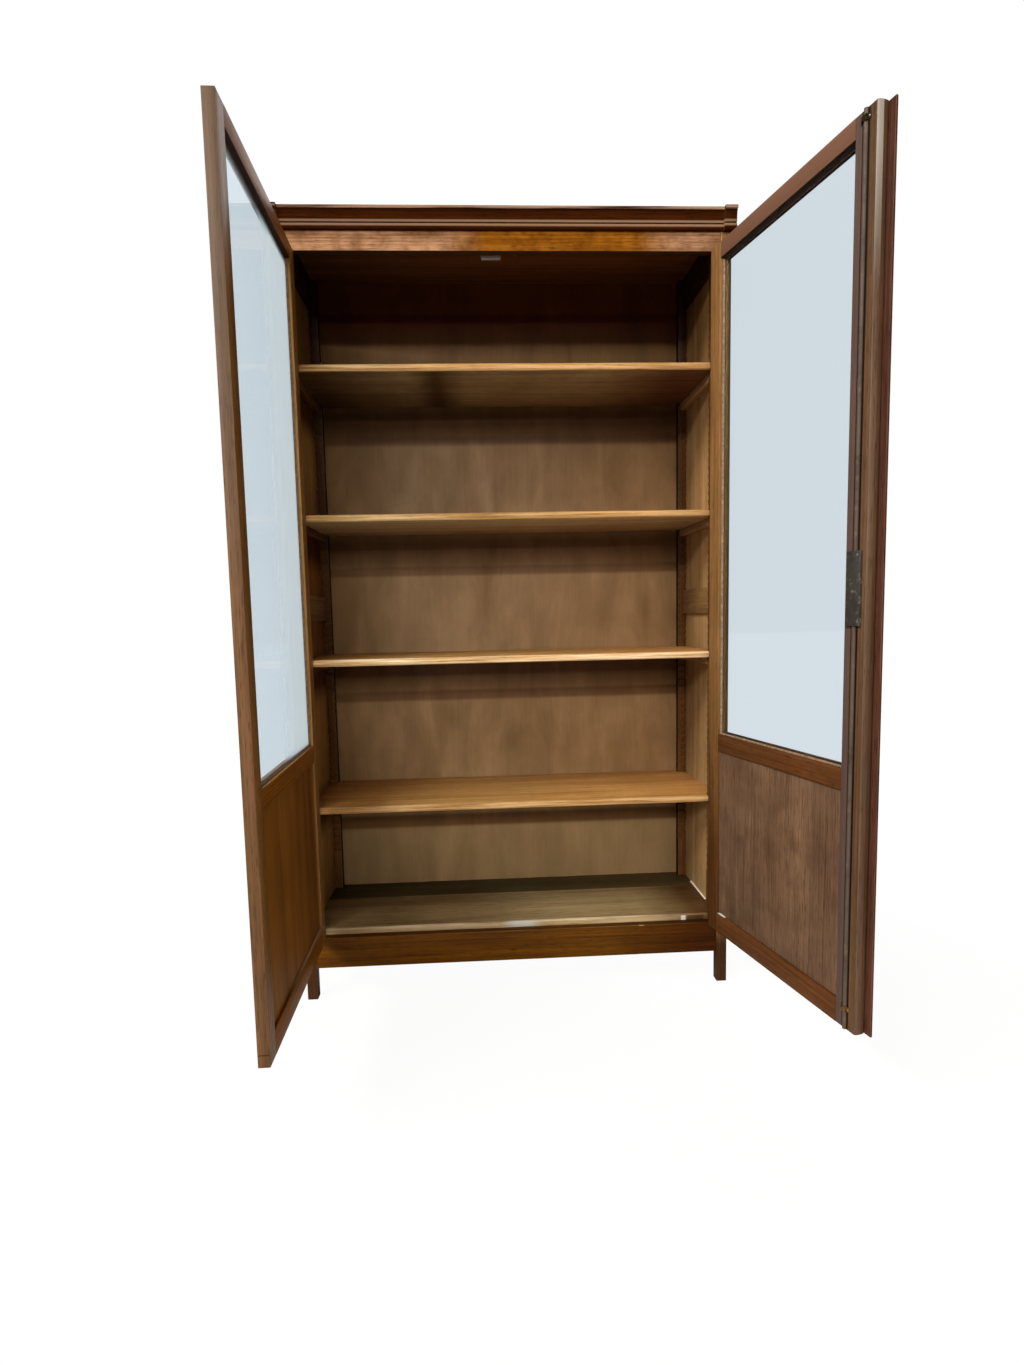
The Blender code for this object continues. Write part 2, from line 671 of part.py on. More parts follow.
def raise_field(mesh):
    """Raises the outer face of a panel into a bevelled field clear of the frame's lips."""
    bm = bmesh.new()
    bm.from_mesh(mesh)
    bm.faces.ensure_lookup_table()
    face = min(bm.faces, key=lambda each: each.calc_center_median().y)
    for margin in (REBATE_WIDTH, FIELD_MARGIN):
        bmesh.ops.inset_region(bm, faces=[face], thickness=margin, use_even_offset=True)
    bmesh.ops.translate(bm, vec=(0.0, -FIELD_RISE, 0.0), verts=face.verts)
    bm.normal_update()
    bm.to_mesh(mesh)
    bm.free()


def build_lock(door):
    """The astragal on the meeting edge, the lock case and the two bolts of the cremone."""
    lap_end = DOOR_END + ASTRAGAL_LAP
    start = lap_end - ASTRAGAL_WIDTH
    back = OUTER - GAP
    bead = ASTRAGAL_THICKNESS - ASTRAGAL_EDGE
    middle = (start + lap_end) / 2
    section = [(start, back), (start, back - ASTRAGAL_EDGE)]
    section += arc((middle, back - ASTRAGAL_EDGE), (ASTRAGAL_BEAD / 2, -bead), 180, 0, 8)
    section += [(lap_end, back - ASTRAGAL_EDGE), (lap_end, back)]
    door.upright("astragal", section, (DOOR_BOTTOM, DOOR_TOP))
    seat = INNER + GAP
    channel = ROD_WIDTH / 2 + ROD_CLEARANCE
    roof = seat + ROD_THICKNESS + ROD_CLEARANCE
    case = LOCK_WIDTH / 2
    case_section = [
        (ROD_X - case, seat),
        (ROD_X - channel, seat),
        (ROD_X - channel, roof),
        (ROD_X + channel, roof),
        (ROD_X + channel, seat),
        (ROD_X + case, seat),
        (ROD_X + case, seat + LOCK_THICKNESS),
        (ROD_X - case, seat + LOCK_THICKNESS),
    ]
    door.upright("lock_case", case_section, (LOCK_BOTTOM, LOCK_TOP), IRON)
    rod = [(ROD_X - ROD_WIDTH / 2, seat), (ROD_X + ROD_WIDTH / 2, seat)]
    rod += arc((ROD_X, seat), (ROD_WIDTH / 2, ROD_THICKNESS), 15, 165, 6)
    door.upright("upper_bolt", rod, (LOCK_TOP - ROD_TAIL, DOOR_TOP), STEEL)
    door.upright("lower_bolt", rod, (DOOR_BOTTOM, LOCK_BOTTOM + ROD_TAIL), STEEL)


def build_doors():
    """Both doors, the right one with a rounded meeting edge and the lock."""
    for side, sign, stile, nose in (
        ("left", -1, LEFT_CLOSING_STILE, 0.0),
        ("right", 1, RIGHT_CLOSING_STILE, EDGE_NOSE),
    ):
        door = Door(side, sign, stile, nose)
        door.build_stiles()
        door.build_rails()
        door.build_infill()
        door.build_hinges()
    build_lock(door)


def stand_on_origin():
    """Moves the whole cabinet so that the middle of its box's underside is the origin."""
    bpy.context.view_layer.update()
    graph = bpy.context.evaluated_depsgraph_get()
    corners = []
    for obj in PARTS.objects:
        if obj.type == "MESH":
            shape = obj.evaluated_get(graph)
            corners += [shape.matrix_world @ vertex.co for vertex in shape.data.vertices]
    low = Vector(min(corner[axis] for corner in corners) for axis in range(3))
    high = Vector(max(corner[axis] for corner in corners) for axis in range(3))
    middle = (low + high) / 2
    ROOT.location = (-middle.x, -middle.y, -low.z)


rack_notches = rack_corners()
build_posts()
build_rails()
build_panels_and_boards(rack_notches)
build_cornice()
build_racks()
build_shelves(rack_notches)
build_doors()
stand_on_origin()
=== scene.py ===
"""Looks of the oak display cabinet: worn wood, drawn glass, ironwork, floor, light and camera."""

import json
import logging
import math
from collections.abc import Callable
from dataclasses import dataclass
from enum import Enum

import bmesh
import bpy
from mathutils import Matrix, Vector


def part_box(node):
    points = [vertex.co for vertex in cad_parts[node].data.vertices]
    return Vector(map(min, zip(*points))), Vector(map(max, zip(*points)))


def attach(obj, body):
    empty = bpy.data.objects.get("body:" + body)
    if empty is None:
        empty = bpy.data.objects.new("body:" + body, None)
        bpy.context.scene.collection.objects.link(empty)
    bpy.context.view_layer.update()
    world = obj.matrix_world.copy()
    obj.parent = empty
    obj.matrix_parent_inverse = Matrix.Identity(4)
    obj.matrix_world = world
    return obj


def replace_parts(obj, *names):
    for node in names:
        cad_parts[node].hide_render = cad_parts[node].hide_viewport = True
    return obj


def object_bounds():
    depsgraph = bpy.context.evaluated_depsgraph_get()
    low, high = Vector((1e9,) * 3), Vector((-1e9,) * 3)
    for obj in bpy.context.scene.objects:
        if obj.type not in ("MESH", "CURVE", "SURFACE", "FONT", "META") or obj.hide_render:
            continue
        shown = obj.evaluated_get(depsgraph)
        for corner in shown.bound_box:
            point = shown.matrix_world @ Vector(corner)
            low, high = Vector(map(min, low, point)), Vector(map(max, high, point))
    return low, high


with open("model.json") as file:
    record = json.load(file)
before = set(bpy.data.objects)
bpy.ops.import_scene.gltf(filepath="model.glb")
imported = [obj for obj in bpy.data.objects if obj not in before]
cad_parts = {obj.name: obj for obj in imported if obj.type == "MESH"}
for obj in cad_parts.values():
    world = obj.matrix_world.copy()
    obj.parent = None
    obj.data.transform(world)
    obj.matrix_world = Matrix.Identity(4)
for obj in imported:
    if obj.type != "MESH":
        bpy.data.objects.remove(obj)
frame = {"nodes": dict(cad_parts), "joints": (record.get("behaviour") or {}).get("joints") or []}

CAD_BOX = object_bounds()
LOG = logging.getLogger("display_cabinet")

Material = bpy.types.Material
Tree = bpy.types.NodeTree
Socket = bpy.types.NodeSocket
Piece = bpy.types.Object
Inputs = dict[int | str, object]
Pair = tuple[float, float]
Point = tuple[float, float, float]
FaceTest = Callable[[Vector, Vector], bool]

MM = 0.001
PER_METRE = 1000.0
# Points this close are one point, and pieces that touch are this far apart.
WELD = 0.00002
# Faces within this angle are one flat face.
FLAT = math.radians(0.5)
# Corners sharper than these are eased, or stay sharp in the shading.
ARRIS_ANGLE = math.radians(50)
SMOOTH_ANGLE = math.radians(38)
# Steps round an eased corner.
ARRIS_STEPS = 2
# How much of a face's normal lies along the axis that it looks along, eased arrises counted or not.
FACING = 0.5
SQUARE = 0.9
# Inputs and output of the Mix node for colours, by number because their names repeat.
SHARE, UNDER, OVER, BLENDED = 0, 6, 7, 2
# How far apart the wave texture's rings are at scale 1.
RING_SPAN = math.tau / 20.0
# How far figure, rings and fibres spread the tone of the wood to both sides of its middle.
FIGURE_REACH, RING_REACH, FIBRE_REACH = 0.3, 0.25, 0.12

SIDES = ("left", "right")
SHELVES = (1, 2, 3, 4)


class Grain(Enum):
    """The way the fibres of a piece run, as an axis of its own frame."""

    ACROSS = "X"
    DEEP = "Y"
    UPRIGHT = "Z"

    def sizes(self, length_mm: float, width_mm: float) -> Point:
        """Metres on each axis of a mark that is long with the grain and narrow across it."""
        return tuple((length_mm if axis == self.value else width_mm) * MM for axis in "XYZ")

    def pith(self, first_mm: float, second_mm: float) -> Point:
        """Where the middle of the trunk lies, off the piece on the two axes across the grain."""
        spare = iter((first_mm * MM, second_mm * MM))
        return tuple(0.0 if axis == self.value else next(spare) for axis in "XYZ")


ACROSS, DEEP, UPRIGHT = Grain


def linear(colour: str) -> tuple[float, float, float, float]:
    """Turns a hex sRGB colour into the linear colour that Blender's sockets take.

    Args:
        colour: the colour, as # and six hex digits.

    Returns:
        Red, green, blue and a full alpha.
    """
    parts = [int(colour[start:start + 2], 16) / 255 for start in (1, 3, 5)]
    lit = [part / 12.92 if part <= 0.04045 else ((part + 0.055) / 1.055) ** 2.4 for part in parts]
    return (*lit, 1.0)


def fill(tree: Tree, node: bpy.types.Node, inputs: Inputs) -> None:
    """Gives inputs of a shader node their values or links.

    Args:
        tree: the node tree that holds the node.
        node: the node.
        inputs: a value or another node's output for each named or numbered input.
    """
    for socket, value in inputs.items():
        if isinstance(value, Socket):
            tree.links.new(value, node.inputs[socket])
        else:
            node.inputs[socket].default_value = value


def add_node(tree: Tree, kind: str, inputs: Inputs, out: int | str = 0, **settings: object) -> Socket:
    """Adds a shader node with its settings and links.

    Args:
        tree: the node tree that takes the node.
        kind: the node's type, such as Math or Mix.
        inputs: a value or another node's output for each named or numbered input.
        out: the name or number of the output that is wanted.
        settings: the node's own properties.

    Returns:
        The wanted output.
    """
    node = tree.nodes.new(f"ShaderNode{kind}")
    for name, value in settings.items():
        setattr(node, name, value)
    fill(tree, node, inputs)
    return node.outputs[out]


def new_material(name: str) -> tuple[Material, Tree, bpy.types.Node]:
    """Makes a fresh material.

    Args:
        name: the material's name.

    Returns:
        The material, its node tree and its Principled shader.
    """
    material = bpy.data.materials.new(name)
    material.use_nodes = True
    return material, material.node_tree, material.node_tree.nodes["Principled BSDF"]


@dataclass(frozen=True)
class Place:
    """A frame in which a group of pieces was drawn: an origin and a turn about the upright."""

    body: str
    origin: Point
    turn: float
    toward_middle: int = 1

    def matrix(self) -> Matrix:
        """The move from this frame to the world."""
        return Matrix.Translation(self.origin) @ Matrix.Rotation(self.turn, 4, "Z")

    def coordinates(self, tree: Tree) -> Socket:
        """Gives a material coordinates that lie in this frame and turn with a door.

        Args:
            tree: the material's node tree.

        Returns:
            The coordinates, in metres.
        """
        whole = add_node(tree, "TexCoord", {}, "Object")
        turned = {"Vector": whole, "Location": self.origin, "Rotation": (0.0, 0.0, self.turn)}
        return add_node(tree, "Mapping", turned, vector_type="TEXTURE")

    def box(self, node: str) -> tuple[Vector, Vector]:
        """Measures a CAD node in this frame.

        Args:
            node: the CAD node's name.

        Returns:
            Its lowest and its highest corner.
        """
        back = self.matrix().inverted()
        points = [back @ vertex.co for vertex in frame["nodes"][node].data.vertices]
        low = Vector([min(point[axis] for point in points) for axis in range(3)])
        high = Vector([max(point[axis] for point in points) for axis in range(3)])
        return low, high


def carcass_place() -> Place:
    """The cabinet's own frame: middle of the width, front of the posts, floor."""
    left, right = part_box("front_post_left")[0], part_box("front_post_right")[1]
    return Place("carcass", ((left.x + right.x) / 2, left.y, 0.0), 0.0)


def door_place(side: str) -> Place:
    """A door's frame on its hinge axis, as the door was drawn shut.

    Args:
        side: left or right.

    Returns:
        The place, turned by as much as the door stands open.
    """
    hinge = next(joint for joint in frame["joints"] if joint["name"] == f"{side}_door_hinge")
    way = hinge["axis"][2]
    shut = hinge["range_deg"][0]
    x, y, _ = hinge["pos_m"]
    return Place(f"{side}_door", (x, y, 0.0), math.radians(-shut * way), int(-way))


CARCASS = carcass_place()
LEFT_DOOR = door_place("left")
RIGHT_DOOR = door_place("right")


@dataclass(frozen=True)
class Sheet:
    """What a wood finish is drawn on: a material's nodes, its coordinates in metres and the grain."""

    tree: Tree
    local: Socket
    grain: Grain

    def streaks(self, mark_mm: Pair, noise: Inputs) -> Socket:
        """Draws random marks that are long with the grain.

        Args:
            mark_mm: the marks' length and width.
            noise: what else the noise takes.

        Returns:
            How strong the marks are, from 0 to 1.
        """
        spread = {"Vector": self.local, "Scale": self.grain.sizes(*mark_mm)}
        along = add_node(self.tree, "Mapping", spread, vector_type="TEXTURE")
        return add_node(self.tree, "TexNoise", {"Vector": along, "Scale": 1.0, **noise})


@dataclass(frozen=True)
class Tint:
    """A change of colour that is full at one place along an axis and fades out on both sides of it."""

    colour: str
    axis: Grain
    middle_mm: float
    full_mm: float
    none_mm: float
    blend: str = "MULTIPLY"
    share: float = 1.0

    def over(self, sheet: Sheet, colour: Socket) -> Socket:
        """Lays the tint over a colour.

        Args:
            sheet: what the finish is drawn on.
            colour: the colour underneath.

        Returns:
            The tinted colour.
        """
        tree = sheet.tree
        along = add_node(tree, "SeparateXYZ", {0: sheet.local}, self.axis.value)
        offset = add_node(tree, "Math", {0: along, 1: self.middle_mm * MM}, operation="SUBTRACT")
        fade = {
            "Value": add_node(tree, "Math", {0: offset}, operation="ABSOLUTE"),
            "From Min": self.none_mm * MM,
            "From Max": self.full_mm * MM,
            "To Max": self.share,
        }
        share = add_node(tree, "MapRange", fade)
        glaze = {SHARE: share, UNDER: colour, OVER: linear(self.colour)}
        return add_node(tree, "Mix", glaze, BLENDED, data_type="RGBA", blend_type=self.blend)


@dataclass(frozen=True)
class OakFinish:
    """Oak, sawn, planed and stained: rings with open pores, fibres, stain gone patchy, pale arrises.

    The pores and fibres of real oak are a third of a millimetre wide. They are drawn up to ten
    times as wide, so that they still show in a picture of the whole cabinet.
    """

    name: str
    light: str
    dark: str
    pore: str
    worn: str
    ring_mm: float = 9.0
    pith_mm: Pair = (-95.0, 140.0)
    trunk_mm: Pair = (14000.0, 1000.0)
    fibre_mm: Pair = (210.0, 4.0)
    pore_mm: Pair = (36.0, 2.2)
    figure_mm: Pair = (700.0, 46.0)
    patch_mm: float = 190.0
    rub_mm: Pair = (150.0, 14.0)
    rings: float = 0.22
    fibres: float = 0.8
    pores: float = 0.55
    patches: float = 0.3
    wear: float = 0.7
    specular: float = 0.12
    gloss: Pair = (0.4, 0.62)
    relief_mm: float = 0.35
    tints: tuple[Tint, ...] = ()
    bleached: tuple[Tint, ...] = ()

    def material(self, place: Place, grain: Grain, worn: bool = False) -> Material:
        """The finish on pieces of one frame whose grain runs one way.

        Args:
            place: the frame that the pattern lies in, so that it turns with a door.
            grain: the way the fibres run.
            worn: true for the arrises, where the stain has rubbed off.

        Returns:
            The material, made once and shared.
        """
        name = f"{self.name}_{place.body}_{grain.name.lower()}" + ("_arris" if worn else "")
        if name in bpy.data.materials:
            return bpy.data.materials[name]
        material, tree, shader = new_material(name)
        sheet = Sheet(tree, place.coordinates(tree), grain)
        tone, pores = self.grain_pattern(sheet)
        colour = self.stain(sheet, tone, pores)
        if worn:
            colour = self.rubbed(sheet, colour)
        for tint in self.tints + (self.bleached if worn else ()):
            colour = tint.over(sheet, colour)
        low, high = self.gloss
        rough = {"Value": tone, "To Min": low, "To Max": high}
        height = add_node(tree, "Math", {0: pores, 1: -1.0, 2: tone}, operation="MULTIPLY_ADD")
        bump = {"Height": height, "Strength": 0.45, "Distance": self.relief_mm * MM}
        surface = {
            "Base Color": colour,
            "Roughness": add_node(tree, "MapRange", rough),
            "Normal": add_node(tree, "Bump", bump),
            "Specular IOR Level": self.specular,
        }
        fill(tree, shader, surface)
        return material

    def grain_pattern(self, sheet: Sheet) -> tuple[Socket, Socket]:
        """Draws the rings, the fibres and the pores.

        Args:
            sheet: what the finish is drawn on.

        Returns:
            How dark the wood is, and where its pores lie, both from 0 to 1.
        """
        tree = sheet.tree
        grain = sheet.grain
        figure = sheet.streaks(self.figure_mm, {"Detail": 3.0, "Distortion": 0.6})
        fibres = sheet.streaks(self.fibre_mm, {"Detail": 2.0})
        dots = sheet.streaks(self.pore_mm, {"Detail": 1.0})
        pores = add_node(tree, "MapRange", {"Value": dots, "From Min": 0.56, "From Max": 0.7})
        trunk = {
            "Vector": sheet.local,
            "Location": grain.pith(*self.pith_mm),
            "Scale": grain.sizes(*self.trunk_mm),
        }
        years = {
            "Vector": add_node(tree, "Mapping", trunk, vector_type="TEXTURE"),
            "Scale": RING_SPAN / (self.ring_mm * MM),
            "Distortion": 7.0,
            "Detail": 2.0,
            "Detail Scale": 0.25,
        }
        growth = {"wave_type": "RINGS", "rings_direction": grain.value, "wave_profile": "SAW"}
        rings = add_node(tree, "TexWave", years, "Fac", **growth)
        tone = figure
        for marks, strength in ((rings, self.rings), (fibres, self.fibres)):
            added = {0: marks, 1: strength, 2: tone}
            tone = add_node(tree, "Math", added, operation="MULTIPLY_ADD")
        middle = (1.0 + self.rings + self.fibres) / 2
        reach = FIGURE_REACH + RING_REACH * self.rings + FIBRE_REACH * self.fibres
        spread = {"Value": tone, "From Min": middle - reach, "From Max": middle + reach}
        return add_node(tree, "MapRange", spread), pores

    def stain(self, sheet: Sheet, tone: Socket, pores: Socket) -> Socket:
        """Colours the grain, with dark pores and patches of old stain.

        Args:
            sheet: what the finish is drawn on.
            tone: how dark the wood is.
            pores: where the pores lie.

        Returns:
            The stained colour.
        """
        tree = sheet.tree
        depth = add_node(tree, "Math", {0: pores, 1: self.pores}, operation="MULTIPLY")
        cloud = {"Vector": sheet.local, "Scale": PER_METRE / self.patch_mm, "Detail": 3.0, "Roughness": 0.6}
        clouds = add_node(tree, "TexNoise", cloud)
        edge = {"Value": clouds, "From Min": 0.42, "From Max": 0.68, "To Max": self.patches}
        patches = add_node(tree, "MapRange", edge)
        colour = linear(self.light)
        for share, over in ((tone, self.dark), (depth, self.pore), (patches, self.dark)):
            shades = {SHARE: share, UNDER: colour, OVER: linear(over)}
            colour = add_node(tree, "Mix", shades, BLENDED, data_type="RGBA")
        return colour

    def rubbed(self, sheet: Sheet, colour: Socket) -> Socket:
        """Lets the bare wood through in stretches along the grain.

        Args:
            sheet: what the finish is drawn on.
            colour: the stained colour.

        Returns:
            The colour of the rubbed edge.
        """
        rubs = sheet.streaks(self.rub_mm, {"Detail": 4.0, "Roughness": 0.6})
        edge = {"Value": rubs, "From Min": 0.38, "From Max": 0.62, "To Max": self.wear}
        mask = add_node(sheet.tree, "MapRange", edge)
        bare = {SHARE: mask, UNDER: colour, OVER: linear(self.worn)}
        return add_node(sheet.tree, "Mix", bare, BLENDED, data_type="RGBA")


@dataclass(frozen=True)
class MetalFinish:
    """Old metal that has gone dull: an even skin with worn bright spots and dark dirt."""

    name: str
    skin: str
    spot: str
    dirt: str
    spot_mm: float = 14.0
    dirt_per_spot: float = 2.3
    spots: Pair = (0.56, 0.68)
    dirts: Pair = (0.5, 0.72)
    gloss: Pair = (0.35, 0.6)
    metallic: float = 1.0
    relief_mm: float = 0.2

    def material(self) -> Material:
        """Draws the finish.

        Returns:
            The material, made once and shared.
        """
        if self.name in bpy.data.materials:
            return bpy.data.materials[self.name]
        material, tree, shader = new_material(self.name)
        place = add_node(tree, "TexCoord", {}, "Object")
        spot = {"Vector": place, "Scale": PER_METRE / self.spot_mm, "Detail": 4.0, "Roughness": 0.7}
        spots = add_node(tree, "TexNoise", spot)
        dirt_mm = self.spot_mm * self.dirt_per_spot
        dirt = {"Vector": place, "Scale": PER_METRE / dirt_mm, "Detail": 5.0, "Roughness": 0.75}
        dirts = add_node(tree, "TexNoise", dirt)
        colour = linear(self.skin)
        for marks, (low, high), over in ((dirts, self.dirts, self.dirt), (spots, self.spots, self.spot)):
            share = add_node(tree, "MapRange", {"Value": marks, "From Min": low, "From Max": high})
            shades = {SHARE: share, UNDER: colour, OVER: linear(over)}
            colour = add_node(tree, "Mix", shades, BLENDED, data_type="RGBA")
        low, high = self.gloss
        rough = {"Value": dirts, "From Min": 0.3, "From Max": 0.7, "To Min": low, "To Max": high}
        bump = {"Height": spots, "Strength": 0.3, "Distance": self.relief_mm * MM}
        surface = {
            "Base Color": colour,
            "Roughness": add_node(tree, "MapRange", rough),
            "Normal": add_node(tree, "Bump", bump),
            "Metallic": self.metallic,
        }
        fill(tree, shader, surface)
        return material


@dataclass(frozen=True)
class PuttyFinish:
    """Linseed putty, pressed in by thumb and painted over: matt, lumpy, brown-grey."""

    name: str
    light: str
    dark: str
    lump_mm: float = 9.0
    gloss: Pair = (0.7, 0.95)
    relief_mm: float = 0.6

    def material(self) -> Material:
        """Draws the finish.

        Returns:
            The material, made once and shared.
        """
        if self.name in bpy.data.materials:
            return bpy.data.materials[self.name]
        material, tree, shader = new_material(self.name)
        place = add_node(tree, "TexCoord", {}, "Object")
        lump = {"Vector": place, "Scale": PER_METRE / self.lump_mm, "Detail": 4.0, "Roughness": 0.65}
        lumps = add_node(tree, "TexNoise", lump)
        tone = add_node(tree, "MapRange", {"Value": lumps, "From Min": 0.35, "From Max": 0.65})
        shades = {SHARE: tone, UNDER: linear(self.light), OVER: linear(self.dark)}
        low, high = self.gloss
        rough = {"Value": lumps, "To Min": low, "To Max": high}
        bump = {"Height": lumps, "Strength": 0.5, "Distance": self.relief_mm * MM}
        surface = {
            "Base Color": add_node(tree, "Mix", shades, BLENDED, data_type="RGBA"),
            "Roughness": add_node(tree, "MapRange", rough),
            "Normal": add_node(tree, "Bump", bump),
        }
        fill(tree, shader, surface)
        return material


@dataclass(frozen=True)
class GlassFinish:
    """Drawn sheet glass: faintly blue, with the slow waves of the drawing and a pale film of painted light.

    The film throws a little light back and lets the rest through; its paleness stands in for white
    seen through the pane. It is thickest beside the hinges, where it hides what lies behind. The glass
    bends light less than a thick pane would, so that what stands behind it keeps its place.
    """

    name: str
    tint: str
    pale_film: str
    film: float
    film_at_hinge: float
    thrown_back: float = 0.2
    clouded_mm: Pair = (165.0, 300.0)
    wave_mm: float = 130.0
    relief_mm: float = 0.5
    dust_mm: float = 60.0
    gloss: Pair = (0.0, 0.06)
    bending: float = 1.08

    def material(self, place: Place) -> Material:
        """The finish on one door's pane. Lamps shine through it.

        Args:
            place: the door's frame.

        Returns:
            The material.
        """
        material, tree, shader = new_material(f"{self.name}_{place.body}")
        local = place.coordinates(tree)
        cloud = {"Vector": local, "Scale": PER_METRE / self.dust_mm, "Detail": 3.0}
        clouds = add_node(tree, "TexNoise", cloud)
        low, high = self.gloss
        rough = {"Value": clouds, "From Min": 0.35, "From Max": 0.75, "To Min": low, "To Max": high}
        wave = {"Vector": local, "Scale": PER_METRE / self.wave_mm, "Detail": 1.0}
        waves = add_node(tree, "TexNoise", wave)
        bump = {"Height": waves, "Strength": 0.3, "Distance": self.relief_mm * MM}
        surface = {
            "Base Color": linear(self.tint),
            "Transmission Weight": 1.0,
            "IOR": self.bending,
            "Roughness": add_node(tree, "MapRange", rough),
            "Normal": add_node(tree, "Bump", bump),
        }
        fill(tree, shader, surface)
        film_over_glass = {0: self.pale_film_share(tree, local), 1: shader.outputs["BSDF"], 2: self.pale_film_shader(tree)}
        pane = add_node(tree, "MixShader", film_over_glass)
        lamp_ray = add_node(tree, "LightPath", {}, "Is Shadow Ray")
        through = add_node(tree, "BsdfTransparent", {"Color": linear(self.tint)})
        whole = add_node(tree, "MixShader", {0: lamp_ray, 1: pane, 2: through})
        fill(tree, tree.nodes["Material Output"], {"Surface": whole})
        return material

    def pale_film_share(self, tree: Tree, local: Socket) -> Socket:
        """Gathers the pale film toward the hinges.

        Args:
            tree: the material's node tree.
            local: the pattern's coordinates in metres, from the hinge axis.

        Returns:
            How much of the glass the pale film covers, from 0 to 1.
        """
        across = add_node(tree, "SeparateXYZ", {0: local}, "X")
        start, end = self.clouded_mm
        gather = {
            "Value": add_node(tree, "Math", {0: across}, operation="ABSOLUTE"),
            "From Min": end * MM,
            "From Max": start * MM,
            "To Min": self.film,
            "To Max": self.film_at_hinge,
        }
        return add_node(tree, "MapRange", gather)

    def pale_film_shader(self, tree: Tree) -> Socket:
        """Makes the pale film of painted light, which passes light on and throws some of it back.

        Args:
            tree: the material's node tree.

        Returns:
            The pale film's shader.
        """
        colour = {"Color": linear(self.pale_film)}
        onward, back = (add_node(tree, f"Bsdf{way}", colour) for way in ("Translucent", "Diffuse"))
        return add_node(tree, "MixShader", {0: self.thrown_back, 1: onward, 2: back})


def under_shelf(shelf: int, colour: str, drop_mm: float, full_mm: float, none_mm: float) -> Tint:
    """A painted shadow across a wall below a shelf.

    Args:
        shelf: the shelf's number, from the top.
        colour: what the wall's colour is multiplied by.
        drop_mm: how far the shade's middle lies below the shelf.
        full_mm: how far from its middle it is full.
        none_mm: how far from its middle it has gone.

    Returns:
        The shade.
    """
    underside_mm = CARCASS.box(f"shelf_{shelf}")[0].z / MM
    return Tint(colour, UPRIGHT, underside_mm - drop_mm, full_mm, none_mm)


# Painted shade: the inside darker toward the top, the back darker under the frieze and in bands under the
# shelves.
PAINTED_TOP_SHADE = Tint("#988C70", UPRIGHT, 2050.0, 0.0, 800.0)
PAINTED_WALL_TOP_SHADE = Tint("#988C70", UPRIGHT, 2050.0, 0.0, 560.0)
PAINTED_DARK_TOP_SHADE = Tint("#70645A", UPRIGHT, 2050.0, 0.0, 700.0)
PAINTED_RED_TOP_SHADE = Tint("#F0B0AC", UPRIGHT, 2094.0, 110.0, 175.0)
FRIEZE_SHADE = Tint("#D8C6BC", UPRIGHT, 1958.0, 40.0, 52.0)
# The back is paler and greyer toward its foot.
PALE_FOOT = Tint("#AC9A6C", UPRIGHT, 290.0, 70.0, 170.0, "MIX", 0.16)
# Painted shadows of the shelves, in bands across the back.
SHADED = (
    under_shelf(1, "#BCAA9B", 40.0, 15.0, 60.0),
    under_shelf(1, "#BFB3AB", 104.0, 5.0, 18.0),
    under_shelf(2, "#BCAA9B", 40.0, 15.0, 60.0),
    under_shelf(2, "#CCC0B8", 116.0, 10.0, 19.0),
    under_shelf(3, "#AC9A8B", 42.0, 15.0, 60.0),
    under_shelf(3, "#C9BDB5", 124.0, 11.0, 20.0),
    under_shelf(4, "#B8A692", 124.0, 16.0, 26.0),
)
# Painted shade on the walls: the left one darker under each shelf and redder in its middle, the right one
# darker round its fourth bay.
LEFT_SHADED = tuple(under_shelf(shelf, "#8C7258", 40.0, 30.0, 85.0) for shelf in SHELVES)
LEFT_RED = Tint("#CDB09A", UPRIGHT, 1155.0, 130.0, 230.0)
PAINTED_FOURTH_BAY_SHADE = Tint("#E4E4E4", UPRIGHT, 750.0, 150.0, 260.0)
# Painted shade under the top shelf, at both ends and in one patch.
TOP_SHELF_UNDER_SHADE = (
    Tint("#98866A", ACROSS, -575.0, 50.0, 330.0),
    Tint("#907E62", ACROSS, -194.0, 8.0, 78.0),
    Tint("#BA9C94", ACROSS, 575.0, 110.0, 300.0),
)
# The floor board is scraped by the bolts, has a small pale spot and a crack on its nose, and is dirty at
# its right end.
BOLT_SCAR = Tint("#B4AA98", ACROSS, 12.0, 20.0, 60.0, "MIX")
NOSE_PALE_SPOT = Tint("#F2EADC", ACROSS, 483.0, 5.0, 8.0, "MIX", 0.6)
NOSE_CRACK = Tint("#1A0E06", ACROSS, 518.0, 22.0, 27.0, "MIX", 0.65)
DARK_END = Tint("#98826C", ACROSS, 575.0, 50.0, 200.0)
# The base rail has a small pale spot and is redder at its right end, and the feet of the posts are darker:
# painted shade.
RAIL_PALE_SPOT = Tint("#D0B896", ACROSS, 352.0, 5.0, 8.0, "MIX", 0.8)
RED_END = Tint("#BCA8B0", ACROSS, 575.0, 60.0, 300.0)
PAINTED_FOOT_SHADE = Tint("#86745A", UPRIGHT, 0.0, 110.0, 180.0)
# Part of the frieze keeps its old varnish, and the cornice is paler along its fillet and its bead: rubbed,
# and a painted highlight.
OLD_VARNISH = Tint("#E0BA52", ACROSS, 149.0, 200.0, 300.0)
RUBBED_AND_LIT_FILLET = Tint("#8A6A52", UPRIGHT, 2080.5, 1.6, 4.2, "MIX", 0.75)
RUBBED_AND_LIT_BEAD = Tint("#8A6A52", UPRIGHT, 2071.0, 2.2, 5.0, "MIX", 0.75)
# The left door is grey on the upper part of its edge, with an open joint below, and the lip of its bottom
# rail is paler: a painted highlight.
GREY_TOP = Tint("#5C5246", UPRIGHT, 2009.0, 250.0, 900.0, "MIX", 0.45)
END_JOINT = Tint("#1C1008", UPRIGHT, 205.0, 0.5, 1.8, "MIX", 0.8)
LEFT_LIP_HIGHLIGHT = Tint("#D0B48E", ACROSS, 66.0, 110.0, 330.0, "MIX", 0.9)
